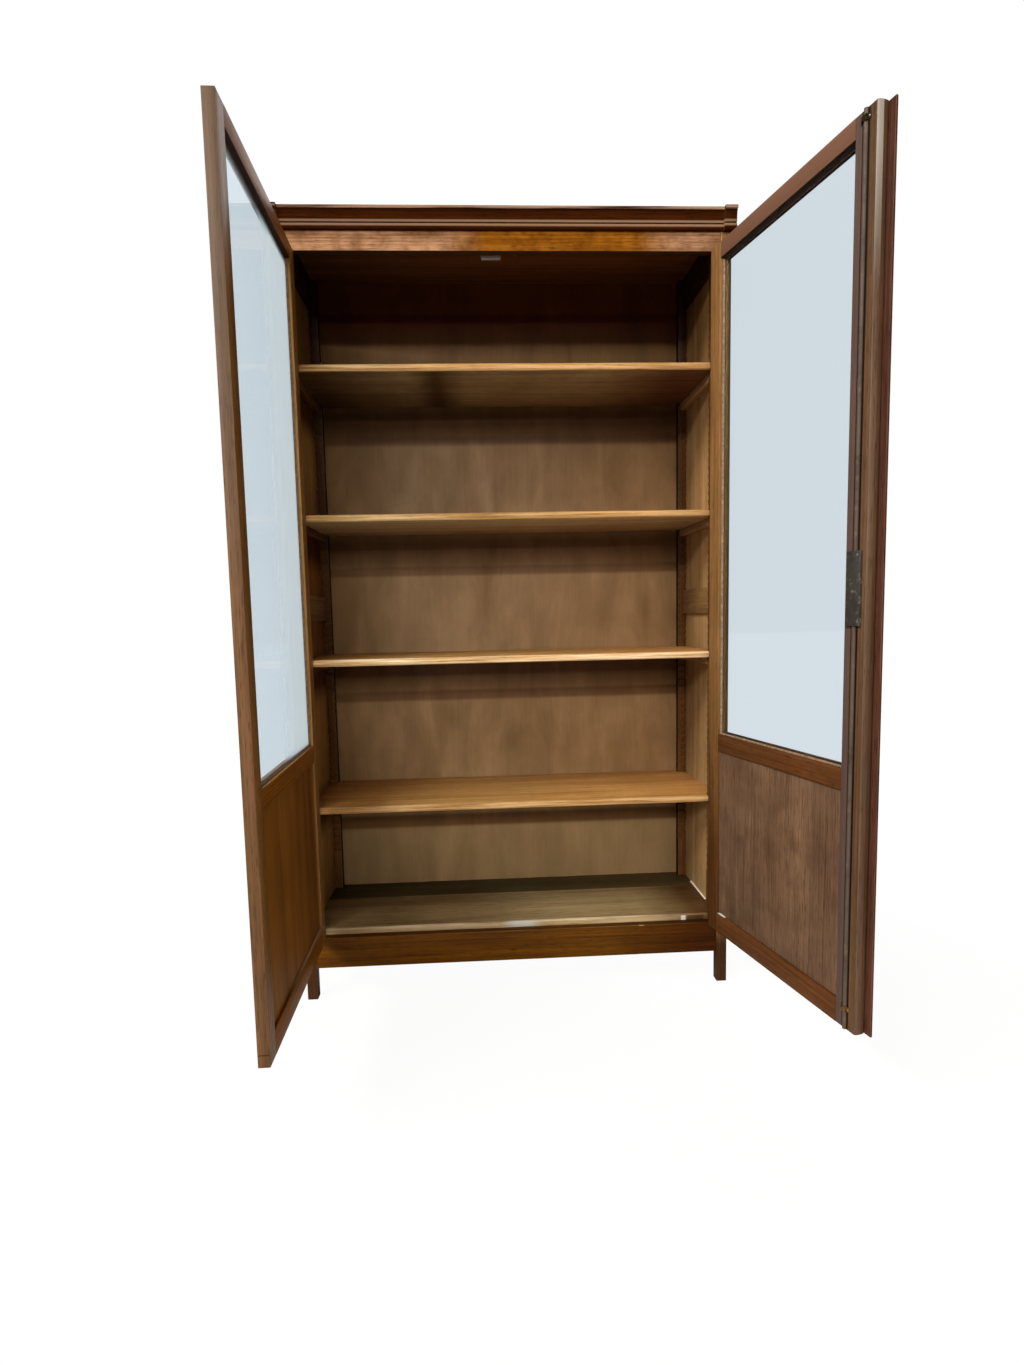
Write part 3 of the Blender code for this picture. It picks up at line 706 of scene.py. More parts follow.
# The right door is paler at its top and its lip, and darker at its foot and beside its bolt.
# Its meeting edge is paler at the top: worn, and a painted highlight.
WORN_AND_LIT_TIP = Tint("#8E8478", UPRIGHT, 2007.0, 70.0, 330.0, "MIX")
# A painted sheen on its top rail.
PAINTED_SHEEN_TOP = Tint("#7A5846", UPRIGHT, 1975.0, 45.0, 90.0, "MIX", 0.6)
# A painted highlight on the lip of its bottom rail.
RIGHT_LIP_HIGHLIGHT = Tint("#F0E8D8", ACROSS, -66.0, 10.0, 20.0, "MIX", 0.9)
DARK_FOOT = Tint("#A08A74", UPRIGHT, 170.0, 250.0, 850.0)
# A grey strip beside its bolt, and painted shadow lines along both sides of the bolt.
BOLT_STRIP_AND_SHADOWS = (
    Tint("#564846", ACROSS, -515.0, 13.0, 15.0, "MIX", 0.5),
    Tint("#1A0E08", ACROSS, -531.6, 1.4, 3.2, "MIX", 0.85),
    Tint("#0E0604", ACROSS, -546.0, 1.8, 3.6, "MIX", 0.95),
)

# Stained and waxed oak outside: brown with a dull shine, paler where it was rubbed.
POST_OAK = OakFinish("stained_oak_posts", "#9A6D40", "#523518", "#302010", "#C49E6E", tints=(PAINTED_FOOT_SHADE,))
BASE_OAK = OakFinish(
    "stained_oak_base", "#6C4009", "#351B05", "#1E0F02", "#825C2F",
    specular=0.04, tints=(RED_END,), bleached=(RAIL_PALE_SPOT,),
)
OUTSIDE_OAK = OakFinish("stained_oak_outside", "#7A4C26", "#442810", "#281608", "#8E6238")
CORNICE_OAK = OakFinish(
    "dark_oak_cornice", "#482008", "#200D04", "#150903", "#9A785E",
    rub_mm=(260.0, 9.0), wear=0.9, specular=0.0, tints=(RUBBED_AND_LIT_FILLET, RUBBED_AND_LIT_BEAD),
)
# Oak whose varnish has gone: pinkish, flaking and quite matt.
FRIEZE_OAK = OakFinish(
    "bare_oak_frieze", "#C6946E", "#5E3A1C", "#3E2612", "#6A4424",
    patch_mm=60.0, patches=0.75, specular=0.0, tints=(OLD_VARNISH,),
)
# Unstained oak inside: tan and matt, yellower or darker from piece to piece.
# The walls grow darker toward the top, painted shade; the left wall is a little darker than the right, with
# more painted shade.
WALL_OAK = OakFinish(
    "inner_oak_right_wall", "#C09866", "#7E5C35", "#523A1E", "#C8A679", tints=(PAINTED_WALL_TOP_SHADE, PAINTED_FOURTH_BAY_SHADE)
)
LEFT_WALL_OAK = OakFinish(
    "inner_oak_left_wall", "#B88C4A", "#785428", "#4C3416", "#BC965A",
    tints=(PAINTED_WALL_TOP_SHADE, LEFT_RED, *LEFT_SHADED),
)
# The back carries the painted shade and shadows set out above.
BACK_OAK = OakFinish(
    "inner_oak_back", "#9C7852", "#6D502F", "#553C20", "#9C794E",
    figure_mm=(300.0, 90.0), rings=0.04, fibres=0.18, pores=0.15, patch_mm=120.0,
    tints=(PAINTED_TOP_SHADE, PAINTED_RED_TOP_SHADE, FRIEZE_SHADE, PALE_FOOT, *SHADED),
)
BACK_OUTSIDE_OAK = OakFinish("raw_oak_back_outside", "#8E6C48", "#5E442A", "#422E18", "#8E6C48", pores=0.3)
# Racks and the sides' top rails grow darker toward the top: painted shade.
RACK_OAK = OakFinish("inner_oak_racks", "#6D461F", "#3B220B", "#261405", "#855F34", tints=(PAINTED_DARK_TOP_SHADE,))
# The rear racks' inner sides are near black: painted shade.
RACK_SHADE_OAK = OakFinish("sooty_oak_rack_inside", "#24120A", "#140A04", "#0C0502", "#24120A")
TOP_RAIL_OAK = OakFinish(
    "inner_oak_top_rails", "#6A4828", "#3C2612", "#28180A", "#8A6844", tints=(PAINTED_DARK_TOP_SHADE,)
)
MID_RAIL_OAK = OakFinish("inner_oak_mid_rails", "#8C683E", "#5A4024", "#3A2814", "#A88458")
# The left cleats are a darker copy of the right ones: painted shade.
SHADED_LEFT_CLEAT_OAK = OakFinish("inner_oak_left_cleats", "#6A4420", "#40260E", "#28160A", "#7A5630")
CLEAT_OAK = OakFinish("inner_oak_cleats", "#B08A5C", "#745230", "#4A3218", "#C8A878")
SHELF_OAK = OakFinish(
    "inner_oak_shelves", "#BA864C", "#80521E", "#523412", "#D2A770", wear=0.8, rub_mm=(260.0, 6.0)
)
SHELF_TOP_OAK = OakFinish("inner_oak_shelf_tops", "#D49856", "#925E24", "#5E3C16", "#D49856")
PALE_NOSE_OAK = OakFinish(
    "inner_oak_pale_nose", "#D8A468", "#9A682E", "#6A4620", "#F4D2A4", wear=0.9, rub_mm=(260.0, 6.0)
)
# Shelf undersides: greyer oak, darker toward the top in painted shade, and the top shelf's also at its ends
# and in one patch.
UNDER_OAK = OakFinish("inner_oak_undersides", "#D0AE7C", "#8E6E48", "#5A452B", "#D0AE7C", tints=(PAINTED_TOP_SHADE,))
SHADED_UNDER_OAK = OakFinish(
    "inner_oak_sooty_underside", "#D8B684", "#94744E", "#5E492F", "#D8B684",
    patch_mm=80.0, patches=0.6, tints=(PAINTED_TOP_SHADE, *TOP_SHELF_UNDER_SHADE),
)
FLOOR_OAK = OakFinish(
    "inner_oak_floor", "#B49463", "#6E5634", "#44321A", "#CCB48E",
    rub_mm=(200.0, 7.0), wear=0.9, tints=(DARK_END,), bleached=(BOLT_SCAR,),
)
FLOOR_FOOT_OAK = OakFinish(
    "inner_oak_floor_foot", "#BC9A6C", "#7A603E", "#4C381E", "#D0B48A",
    rub_mm=(200.0, 7.0), wear=0.5, tints=(DARK_END,), bleached=(BOLT_SCAR, NOSE_PALE_SPOT, NOSE_CRACK),
)
# Darker boards: a green-brown board on the floor behind and brown under the top; painted shade under the
# frieze and the doors' top rails.
DARK_BOARD = OakFinish("dark_stained_board", "#504022", "#2C230E", "#181007", "#504022", wear=0.4)
UNDERSIDE_SHADE_OAK = OakFinish("smoked_oak_ceiling", "#4A2C14", "#2A160A", "#180C06", "#4A3018", wear=0.3)
SOFFIT_OAK = OakFinish("brown_oak_soffit", "#72441F", "#442610", "#2A1608", "#72441F", wear=0.3)
# Small pieces: a nearly white strip in the floor's joint, a painted highlight, and a dusty grey block.
SEAM_HIGHLIGHT_OAK = OakFinish("bare_oak_strip", "#F0E4CC", "#D0BE9E", "#A08C68", "#F0E4CC")
STOP_OAK = OakFinish("dusty_oak_stop", "#6E5C50", "#4C3E34", "#30261E", "#7C6A5C", wear=0.9)
# The left door inside: honey-brown oak with a little more shine.
LEFT_OAK = OakFinish(
    "stained_oak_left_door", "#A67138", "#624019", "#38240D", "#B08A5C", wear=0.5, gloss=(0.34, 0.5)
)
LEFT_RAIL_OAK = OakFinish(
    "stained_oak_left_rails", "#A86212", "#623908", "#361F05", "#AC8246", wear=0.5, gloss=(0.34, 0.5)
)
LEFT_LIP_HIGHLIGHT_OAK = OakFinish(
    "stained_oak_left_lip", "#8A5210", "#543006", "#301B04", "#8A5210", tints=(LEFT_LIP_HIGHLIGHT,)
)
LEFT_EDGE_OAK = OakFinish(
    "stained_oak_left_edge", "#7C5637", "#4B331D", "#30200F", "#977855",
    wear=0.6, tints=(END_JOINT, GREY_TOP),
)
LEFT_PANEL_OAK = OakFinish(
    "stained_oak_left_panel", "#A0641F", "#633A0E", "#3C2208", "#A07846",
    rings=0.1, fibres=0.3, pores=0.3, wear=0.4, specular=0.08,
)
# The right door inside: darker, redder oak with hardly any shine.
RIGHT_OAK = OakFinish(
    "stained_oak_right_door", "#633A1C", "#361F0C", "#211106", "#6C4A30",
    wear=0.4, specular=0.06, tints=(PAINTED_SHEEN_TOP,),
)
RIGHT_LIP_HIGHLIGHT_OAK = OakFinish(
    "stained_oak_right_lip", "#633A1C", "#361F0C", "#211106", "#6C4A30", tints=(RIGHT_LIP_HIGHLIGHT,)
)
RIGHT_HINGE_OAK = OakFinish(
    "stained_oak_right_hinge_side", "#90663A", "#56391A", "#342210", "#A07848",
    wear=0.5, specular=0.1, tints=(DARK_FOOT,),
)
RIGHT_STILE_OAK = OakFinish(
    "stained_oak_right_closing_side", "#664932", "#3C2818", "#24180D", "#70543C",
    wear=0.4, specular=0.06, tints=BOLT_STRIP_AND_SHADOWS,
)
RIGHT_EDGE_OAK = OakFinish(
    "stained_oak_right_meeting_edge", "#6C5240", "#463222", "#2C1C12", "#6C5240",
    specular=0.1, tints=(WORN_AND_LIT_TIP,),
)
RIGHT_PANEL_OAK = OakFinish(
    "stained_oak_right_panel", "#785A42", "#442F20", "#2C1E12", "#8A6C52",
    figure_mm=(420.0, 60.0), rings=0.08, fibres=0.6, patch_mm=70.0, patches=0.5, wear=0.4, specular=0.08,
)
ASTRAGAL_OAK = OakFinish(
    "stained_oak_astragal", "#5A3628", "#301A10", "#1A0D06", "#80603F", wear=0.5, specular=0.06
)
# Cast and drawn iron, painted or browned: dark, half metal to the eye, rubbed bright in spots.
LOCK_IRON = MetalFinish(
    "cast_iron_lock", "#3A372F", "#747064", "#201E18", metallic=0.45, gloss=(0.5, 0.7)
)
BOLT_IRON = MetalFinish(
    "browned_iron_bolts", "#46372A", "#584836", "#2A1E16", spot_mm=40.0, metallic=0.1, gloss=(0.6, 0.8)
)
GUIDE_IRON = MetalFinish(
    "blackened_iron_guide", "#3A2C1A", "#5A4828", "#1A120A", spot_mm=9.0, gloss=(0.55, 0.8)
)
# Turned steel that still shines, and rolled brass that has gone brown.
SCREW_STEEL = MetalFinish("bright_steel_screws", "#A8A49A", "#D8D4CA", "#6A645A", spot_mm=4.0)
HINGE_BRASS = MetalFinish("tarnished_brass_hinges", "#8A6A38", "#B8965A", "#4A3618", spot_mm=9.0)
# Putty is brown, and nearly black along the top of the panes: painted shade.
PUTTY = PuttyFinish("painted_linseed_putty", "#8C6C50", "#5C4430")
SHADED_PUTTY = PuttyFinish("painted_shade_putty", "#2A1C12", "#1A100A")
# The left pane carries the pale film of painted light; the right one carries none.
LEFT_PANE = GlassFinish("drawn_sheet_glass", "#D3E1EA", "#B4B8B8", film=0.15, film_at_hinge=0.88)
RIGHT_PANE = GlassFinish("drawn_sheet_glass", "#D0DBE2", "#CCD0D0", film=0.0, film_at_hinge=0.0)


def hold(piece: Piece) -> None:
    """Makes one piece the only selected and the active object.

    Args:
        piece: the piece.
    """
    bpy.ops.object.select_all(action="DESELECT")
    piece.select_set(True)
    bpy.context.view_layer.objects.active = piece


def pick_faces(piece: Piece, test: FaceTest) -> None:
    """Selects faces of the piece in edit mode.

    Args:
        piece: the piece, open for editing.
        test: whether a face is picked, by its centre and its normal.
    """
    bpy.ops.mesh.select_mode(type="FACE")
    bpy.ops.mesh.select_all(action="DESELECT")
    shape = bmesh.from_edit_mesh(piece.data)
    for face in shape.faces:
        face.select_set(test(face.calc_center_median(), face.normal))
    bmesh.update_edit_mesh(piece.data)


def pick_points(piece: Piece, test: Callable[[Vector], bool]) -> None:
    """Selects points of the piece in edit mode, with the edges between them.

    Args:
        piece: the piece, open for editing.
        test: whether a point is picked, by its place.
    """
    bpy.ops.mesh.select_mode(type="VERT")
    bpy.ops.mesh.select_all(action="DESELECT")
    shape = bmesh.from_edit_mesh(piece.data)
    for vertex in shape.verts:
        vertex.select_set(test(vertex.co))
    shape.select_flush(True)
    bmesh.update_edit_mesh(piece.data)


def looking(axis: str, way: int, share: float = FACING) -> FaceTest:
    """A test for faces that look along an axis.

    Args:
        axis: x, y or z.
        way: 1 for up the axis, -1 for down it.
        share: the least part of the normal that lies along the axis.

    Returns:
        The test, which takes a face's centre and normal.
    """
    return lambda centre, normal: getattr(normal, axis) * way > share


def apply_modifier(piece: Piece, kind: str, **settings: object) -> None:
    """Adds a modifier to a piece and applies it.

    Args:
        piece: the piece.
        kind: the modifier's type.
        settings: the modifier's own properties.
    """
    modifier = piece.modifiers.new(kind.lower(), kind)
    for name, value in settings.items():
        setattr(modifier, name, value)
    hold(piece)
    bpy.ops.object.modifier_apply(modifier=modifier.name)


def smooth(piece: Piece) -> None:
    """Shades the round stretches of a piece smooth and keeps its corners."""
    hold(piece)
    bpy.ops.object.shade_smooth_by_angle(angle=SMOOTH_ANGLE, keep_sharp_edges=False)


def begin(name: str, size: Point = (1.0, 1.0, 1.0)) -> Piece:
    """Opens the primitive that was just added for editing.

    Args:
        name: the piece's name.
        size: how far the primitive is stretched along its own axes.

    Returns:
        The piece, in edit mode with all of it selected.
    """
    piece = bpy.context.object
    piece.name = name
    piece.scale = size
    bpy.ops.object.transform_apply(location=True, rotation=True, scale=True)
    bpy.ops.object.mode_set(mode="EDIT")
    bpy.ops.mesh.select_all(action="SELECT")
    return piece


def close(piece: Piece, place: Place, *materials: Material) -> None:
    """Ends the editing of a piece with its faces outward, sets it in the world and dresses it.

    Args:
        piece: the piece, in edit mode.
        place: the frame that it was drawn in.
        materials: its materials.
    """
    bpy.ops.mesh.select_all(action="SELECT")
    bpy.ops.mesh.normals_make_consistent(inside=False)
    bpy.ops.object.mode_set(mode="OBJECT")
    piece.data.transform(place.matrix())
    for material in materials:
        piece.data.materials.append(material)
    smooth(piece)


def settle(piece: Piece, body: str) -> None:
    """Hands a finished piece to its body and logs it.

    Args:
        piece: the piece.
        body: the body that it rides on.
    """
    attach(piece, body)
    LOG.info("%s rides on %s with %d faces", piece.name, body, len(piece.data.polygons))


def dress_node(node: str, material: Material) -> None:
    """Gives a CAD node, whose shape is right as it is, its finish and logs it."""
    frame["nodes"][node].data.materials[0] = material
    LOG.info("%s is dressed in %s", node, material.name)


def eased_copy(node: str, suffix: str, arris_mm: float) -> Piece:
    """Copies a CAD node and rounds its arrises, whose faces take the second material.

    Args:
        node: the CAD node.
        suffix: what the copy's name adds to the node's.
        arris_mm: how much of each corner is gone.

    Returns:
        The copy, which stands for the node.
    """
    piece = bpy.data.objects.new(f"{node}_{suffix}", frame["nodes"][node].data.copy())
    bpy.context.scene.collection.objects.link(piece)
    hold(piece)
    bpy.ops.object.mode_set(mode="EDIT")
    bpy.ops.mesh.select_all(action="SELECT")
    bpy.ops.mesh.remove_doubles(threshold=WELD)
    bpy.ops.mesh.dissolve_limited(angle_limit=FLAT)
    bpy.ops.object.mode_set(mode="OBJECT")
    bpy.ops.mesh.customdata_custom_splitnormals_clear()
    piece.data.materials.clear()
    piece.data.materials.append(None)
    piece.data.materials.append(None)
    apply_modifier(
        piece,
        "BEVEL",
        width=arris_mm * MM,
        segments=ARRIS_STEPS,
        limit_method="ANGLE",
        angle_limit=ARRIS_ANGLE,
        material=1,
        use_clamp_overlap=True,
    )
    smooth(piece)
    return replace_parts(piece, node)


@dataclass(frozen=True)
class Stretch:
    """Faces of a wooden piece that look otherwise than the rest, told by centre and normal in its frame."""

    test: FaceTest
    finish: OakFinish
    grain: Grain
    worn: bool = False


@dataclass
class WoodPiece:
    """One wooden piece of the cabinet: its CAD node, finish, grain and how far its arrises are gone."""

    node: str
    finish: OakFinish
    grain: Grain
    place: Place
    slot: str
    arris_mm: float
    stretches: tuple[Stretch, ...] = ()

    def build(self) -> None:
        """Eases the piece's arrises and dresses it."""
        piece = eased_copy(self.node, "wood", self.arris_mm)
        piece.data.materials[0] = self.finish.material(self.place, self.grain)
        piece.data.materials[1] = self.finish.material(self.place, self.grain, worn=True)
        back = self.place.matrix().inverted()
        for number, stretch in enumerate(self.stretches, start=2):
            piece.data.materials.append(stretch.finish.material(self.place, stretch.grain, stretch.worn))
            for face in piece.data.polygons:
                if stretch.test(back @ face.center, back.to_3x3() @ face.normal):
                    face.material_index = number
        settle(piece, self.place.body)


def worn_nose(node: str, finish: OakFinish, depth_mm: float = 6.0) -> Stretch:
    """The rounded front of a board, rubbed bare to a depth."""
    nose = CARCASS.box(node)[0].y + depth_mm * MM
    return Stretch(lambda centre, normal: centre.y < nose, finish, ACROSS, worn=True)


@dataclass
class Screw:
    """A wood screw's slotted head, low and domed in rings, each with its shares of radius and rise."""

    radius_mm: float = 2.3
    rise_mm: float = 1.0
    slot_mm: float = 0.6
    steps: int = 20
    rings: tuple[Pair, ...] = ((0.25, 0.3), (0.3, 0.2))

    def model(self) -> Piece:
        """Raises the dome on a disc and cuts the slot across it.

        Returns:
            The head at the origin, to be copied.
        """
        radius = self.radius_mm * MM
        rise = self.rise_mm * MM
        half = self.slot_mm * MM / 2
        bpy.ops.object.select_all(action="DESELECT")
        bpy.ops.mesh.primitive_cylinder_add(
            vertices=self.steps, radius=radius, depth=rise / 2, location=(0.0, 0.0, rise / 4)
        )
        head = begin("screw_head")
        pick_faces(head, looking("z", 1, SQUARE))
        for inward, upward in self.rings:
            bpy.ops.mesh.inset(thickness=radius * inward, depth=rise * upward)
        for side in (-half, half):
            bpy.ops.mesh.select_all(action="SELECT")
            bpy.ops.mesh.bisect(plane_co=(side, 0.0, 0.0), plane_no=(1.0, 0.0, 0.0))
        pick_faces(head, lambda centre, normal: abs(centre.x) < half and normal.z > FACING)
        bpy.ops.mesh.extrude_region_move(TRANSFORM_OT_translate={"value": (0.0, 0.0, -rise / 2)})
        bpy.ops.object.mode_set(mode="OBJECT")
        smooth(head)
        return head

    def drive(
        self, head: Piece, name: str, place: Place, at: Vector, turn: float, finish: MetalFinish
    ) -> None:
        """Sets a copy of the head on a face that looks into the cabinet.

        Args:
            head: the head to copy.
            name: the screw's name.
            place: the frame of the piece that it holds.
            at: the middle of its underside in that frame.
            turn: the angle at which the slot came to rest.
            finish: its metal.
        """
        screw = bpy.data.objects.new(name, head.data.copy())
        bpy.context.scene.collection.objects.link(screw)
        inward = Matrix.Rotation(-math.pi / 2, 4, "X") @ Matrix.Rotation(turn, 4, "Z")
        screw.data.transform(place.matrix() @ Matrix.Translation(at) @ inward)
        screw.data.materials.append(finish.material())
        settle(screw, place.body)


@dataclass
class Carcass:
    """Posts, rails, panels, boards and cornice, the strip in the floor's joint and the door stop."""

    post_arris_mm: float = 1.6
    rail_arris_mm: float = 1.0
    board_arris_mm: float = 1.2
    moulding_arris_mm: float = 0.6
    lip_mm: float = 8.0
    return_mm: float = 80.0
    nose_foot: float = 0.35
    seam_mm: Pair = (135.0, 284.0)
    seam_width_mm: float = 4.2
    seam_rise_mm: float = 2.6
    seam_taper: float = 0.97
    seam_round: float = 0.6
    seam_steps: int = 3
    stop_at_mm: Point = (-34.0, 25.4, 2011.0)
    stop_mm: Point = (58.0, 8.0, 19.0)
    stop_taper: float = 0.86
    stop_round: float = 0.12
    stop_screw_turn: float = 0.4

    def build(self) -> None:
        """Builds and dresses the carcass."""
        self.build_front_and_back()
        for side in SIDES:
            self.build_side(side)
        self.build_seam()
        self.build_stop()

    def build_front_and_back(self) -> None:
        """Builds the rails, boards and panels that run across the cabinet."""
        # The frieze's underside and back are painted shade.
        frieze_under_shade = Stretch(
            lambda centre, normal: normal.z < -FACING or normal.y > FACING, UNDERSIDE_SHADE_OAK, ACROSS
        )
        behind = Stretch(looking("y", 1), BACK_OUTSIDE_OAK, UPRIGHT)
        ceiling = Stretch(looking("z", -1), SOFFIT_OAK, ACROSS)
        rail = self.rail_arris_mm
        board = self.board_arris_mm
        moulding = self.moulding_arris_mm
        for node, oak, grain, slot, arris, stretches in (
            ("base_rail", BASE_OAK, ACROSS, "stained_oak", rail, ()),
            ("frieze_rail", FRIEZE_OAK, ACROSS, "raw_oak", rail, (frieze_under_shade,)),
            ("rear_bottom_rail", BASE_OAK, ACROSS, "stained_oak", rail, ()),
            ("back_panel", BACK_OAK, UPRIGHT, "inner_oak", rail, (behind,)),
            ("top_board", CORNICE_OAK, ACROSS, "stained_oak", board, (ceiling,)),
            ("cornice", CORNICE_OAK, ACROSS, "stained_oak", moulding, self.cornice_stretches()),
            ("floor_board_front", FLOOR_OAK, ACROSS, "inner_oak", board, self.nose_stretches()),
            ("floor_board_rear", DARK_BOARD, ACROSS, "dark_board", board, ()),
        ):
            WoodPiece(node, oak, grain, CARCASS, slot, arris, stretches).build()

    def cornice_stretches(self) -> tuple[Stretch, ...]:
        """Tells the faces of the cornice apart.

        Returns:
            Its rubbed lip, its side returns and their own rubbed lips.
        """
        lip = CARCASS.box("cornice")[1].z - self.lip_mm * MM
        corner = self.return_mm * MM
        return (
            Stretch(lambda centre, normal: centre.z > lip, CORNICE_OAK, ACROSS, worn=True),
            Stretch(lambda centre, normal: centre.y > corner, CORNICE_OAK, DEEP),
            Stretch(
                lambda centre, normal: centre.z > lip and centre.y > corner, CORNICE_OAK, DEEP, worn=True
            ),
        )

    def nose_stretches(self) -> tuple[Stretch, ...]:
        """Tells the faces of the floor board's front apart.

        Returns:
            The rounded nose and the foot of that nose.
        """
        nose = worn_nose("floor_board_front", FLOOR_OAK)
        foot = Stretch(
            lambda centre, normal: nose.test(centre, normal) and normal.z < self.nose_foot,
            FLOOR_FOOT_OAK,
            ACROSS,
            worn=True,
        )
        return nose, foot

    def build_side(self, side: str) -> None:
        """Builds the posts, the rails and the panel of one side.

        The panel's top rail has the grain of a rail and its darker colour, with painted shade toward the
        top.

        Args:
            side: left or right.
        """
        out = -1 if side == "left" else 1
        upright = Stretch(looking("x", out), OUTSIDE_OAK, UPRIGHT)
        level = Stretch(looking("x", out), OUTSIDE_OAK, DEEP)
        wall = abs(CARCASS.box(f"rack_front_{side}")[side == "right"].x)
        top_rail = Stretch(lambda centre, normal: abs(centre.x) < wall, TOP_RAIL_OAK, DEEP)
        panel_oak = LEFT_WALL_OAK if side == "left" else WALL_OAK
        post = self.post_arris_mm
        rail = self.rail_arris_mm
        for node, oak, grain, slot, arris, stretches in (
            ("front_post", POST_OAK, UPRIGHT, "stained_oak", post, (upright,)),
            ("rear_post", POST_OAK, UPRIGHT, "stained_oak", post, (upright,)),
            ("side_bottom_rail", TOP_RAIL_OAK, DEEP, "stained_oak", rail, (level,)),
            ("side_mid_rail", MID_RAIL_OAK, DEEP, "stained_oak", rail, (level,)),
            ("side_panel", panel_oak, UPRIGHT, "inner_oak", rail, (top_rail, upright)),
        ):
            WoodPiece(f"{node}_{side}", oak, grain, CARCASS, slot, arris, stretches).build()

    def build_seam(self) -> None:
        """Lays a strip in the joint between the floor and the right side, nearly white: a painted
        highlight.
        """
        wall = CARCASS.box("floor_board_front")[1]
        front, rear = (place * MM for place in self.seam_mm)
        width = self.seam_width_mm * MM
        middle = (wall.x - width / 2, (front + rear) / 2, wall.z + WELD)
        bpy.ops.object.select_all(action="DESELECT")
        bpy.ops.mesh.primitive_plane_add(size=1.0, location=middle)
        strip = begin("floor_seam_strip", (width, rear - front, 1.0))
        rise = (0.0, 0.0, self.seam_rise_mm * MM)
        bpy.ops.mesh.extrude_region_move(TRANSFORM_OT_translate={"value": rise})
        bpy.ops.transform.resize(value=(1.0, self.seam_taper, 1.0), center_override=middle)
        pick_points(strip, lambda point: point.z > middle[2] and point.x < middle[0])
        bpy.ops.mesh.bevel(offset=width * self.seam_round, segments=self.seam_steps, affect="EDGES")
        close(strip, CARCASS, SEAM_HIGHLIGHT_OAK.material(CARCASS, DEEP))
        settle(strip, CARCASS.body)

    def build_stop(self) -> None:
        """Saws the block behind the frieze that the left door shuts against, and screws it on."""
        wide, deep, tall = (size * MM for size in self.stop_mm)
        x, front, z = (place * MM for place in self.stop_at_mm)
        middle = Vector((x, front + deep / 2, z))
        bpy.ops.object.select_all(action="DESELECT")
        bpy.ops.mesh.primitive_cube_add(size=1.0, location=middle)
        stop = begin("door_stop", (wide, deep, tall))
        pick_faces(stop, looking("z", -1, SQUARE))
        bpy.ops.transform.resize(value=(self.stop_taper, 1.0, 1.0), center_override=middle)
        bpy.ops.mesh.select_all(action="SELECT")
        bpy.ops.mesh.bevel(offset=deep * self.stop_round, segments=ARRIS_STEPS, affect="EDGES")
        close(stop, CARCASS, STOP_OAK.material(CARCASS, ACROSS))
        screw = Screw()
        head = screw.model()
        back = middle + Vector((0.0, deep / 2 + WELD, 0.0))
        screw.drive(head, "door_stop_screw", CARCASS, back, self.stop_screw_turn, SCREW_STEEL)
        bpy.data.objects.remove(head)
        settle(stop, CARCASS.body)


@dataclass
class Shelving:
    """Toothed racks, cleats and loose shelves."""

    shaded_shelf: int = 1
    palest_shelf: int = 3
    rack_arris_mm: float = 0.8
    shelf_arris_mm: float = 1.4

    def build(self) -> None:
        """Builds and dresses the racks, the cleats and the shelves."""
        rack = self.rack_arris_mm
        for side, inward in zip(SIDES, (1, -1)):
            # The rear racks' inner sides take painted shade.
            rack_inside_shade = Stretch(looking("x", inward), RACK_SHADE_OAK, UPRIGHT)
            for end, stretches in (("front", ()), ("rear", (rack_inside_shade,))):
                node = f"rack_{end}_{side}"
                WoodPiece(node, RACK_OAK, UPRIGHT, CARCASS, "inner_oak", rack, stretches).build()
        for number in SHELVES:
            self.build_shelf(number)
            for side, oak in zip(SIDES, (SHADED_LEFT_CLEAT_OAK, CLEAT_OAK)):
                WoodPiece(f"cleat_{number}_{side}", oak, DEEP, CARCASS, "inner_oak", rack).build()

    def build_shelf(self, number: int) -> None:
        """Builds one shelf, with its own colour on top and below, painted shade below, and wear on its
        nose.

        Args:
            number: the shelf's number, from the top.
        """
        node = f"shelf_{number}"
        below = SHADED_UNDER_OAK if number == self.shaded_shelf else UNDER_OAK
        stretches = (
            Stretch(looking("z", 1, SQUARE), SHELF_TOP_OAK, ACROSS),
            Stretch(looking("z", -1), below, ACROSS),
            worn_nose(node, PALE_NOSE_OAK if number == self.palest_shelf else SHELF_OAK),
        )
        arris = self.shelf_arris_mm
        WoodPiece(node, SHELF_OAK, ACROSS, CARCASS, "inner_oak", arris, stretches).build()


@dataclass(frozen=True)
class DoorFinish:
    """The finishes of one door's pieces."""

    hinge_stile: OakFinish
    closing_stile: OakFinish
    rails: OakFinish
    lip: OakFinish
    panel: OakFinish
    pane: GlassFinish


LEFT_FINISH = DoorFinish(LEFT_OAK, LEFT_OAK, LEFT_RAIL_OAK, LEFT_LIP_HIGHLIGHT_OAK, LEFT_PANEL_OAK, LEFT_PANE)
RIGHT_FINISH = DoorFinish(
    RIGHT_HINGE_OAK, RIGHT_STILE_OAK, RIGHT_OAK, RIGHT_LIP_HIGHLIGHT_OAK, RIGHT_PANEL_OAK, RIGHT_PANE
)


def left_closing_edge() -> Stretch:
    """The edge of the left door that meets the right one, but not its arrises."""
    edge = LEFT_DOOR.box("left_door_closing_stile")[1].x - WELD * 10
    return Stretch(lambda centre, normal: centre.x > edge, LEFT_EDGE_OAK, UPRIGHT)


def right_closing_edge(depth_mm: float = 3.0) -> Stretch:
    """The inner half of the right door's meeting edge.

    Args:
        depth_mm: how far it goes in from the edge.

    Returns:
        The faces with their finish.
    """
    low, high = RIGHT_DOOR.box("right_door_closing_stile")
    meeting = low.x + depth_mm * MM
    middle = (low.y + high.y) / 2
    return Stretch(
        lambda centre, normal: centre.x < meeting and centre.y > middle, RIGHT_EDGE_OAK, UPRIGHT
    )


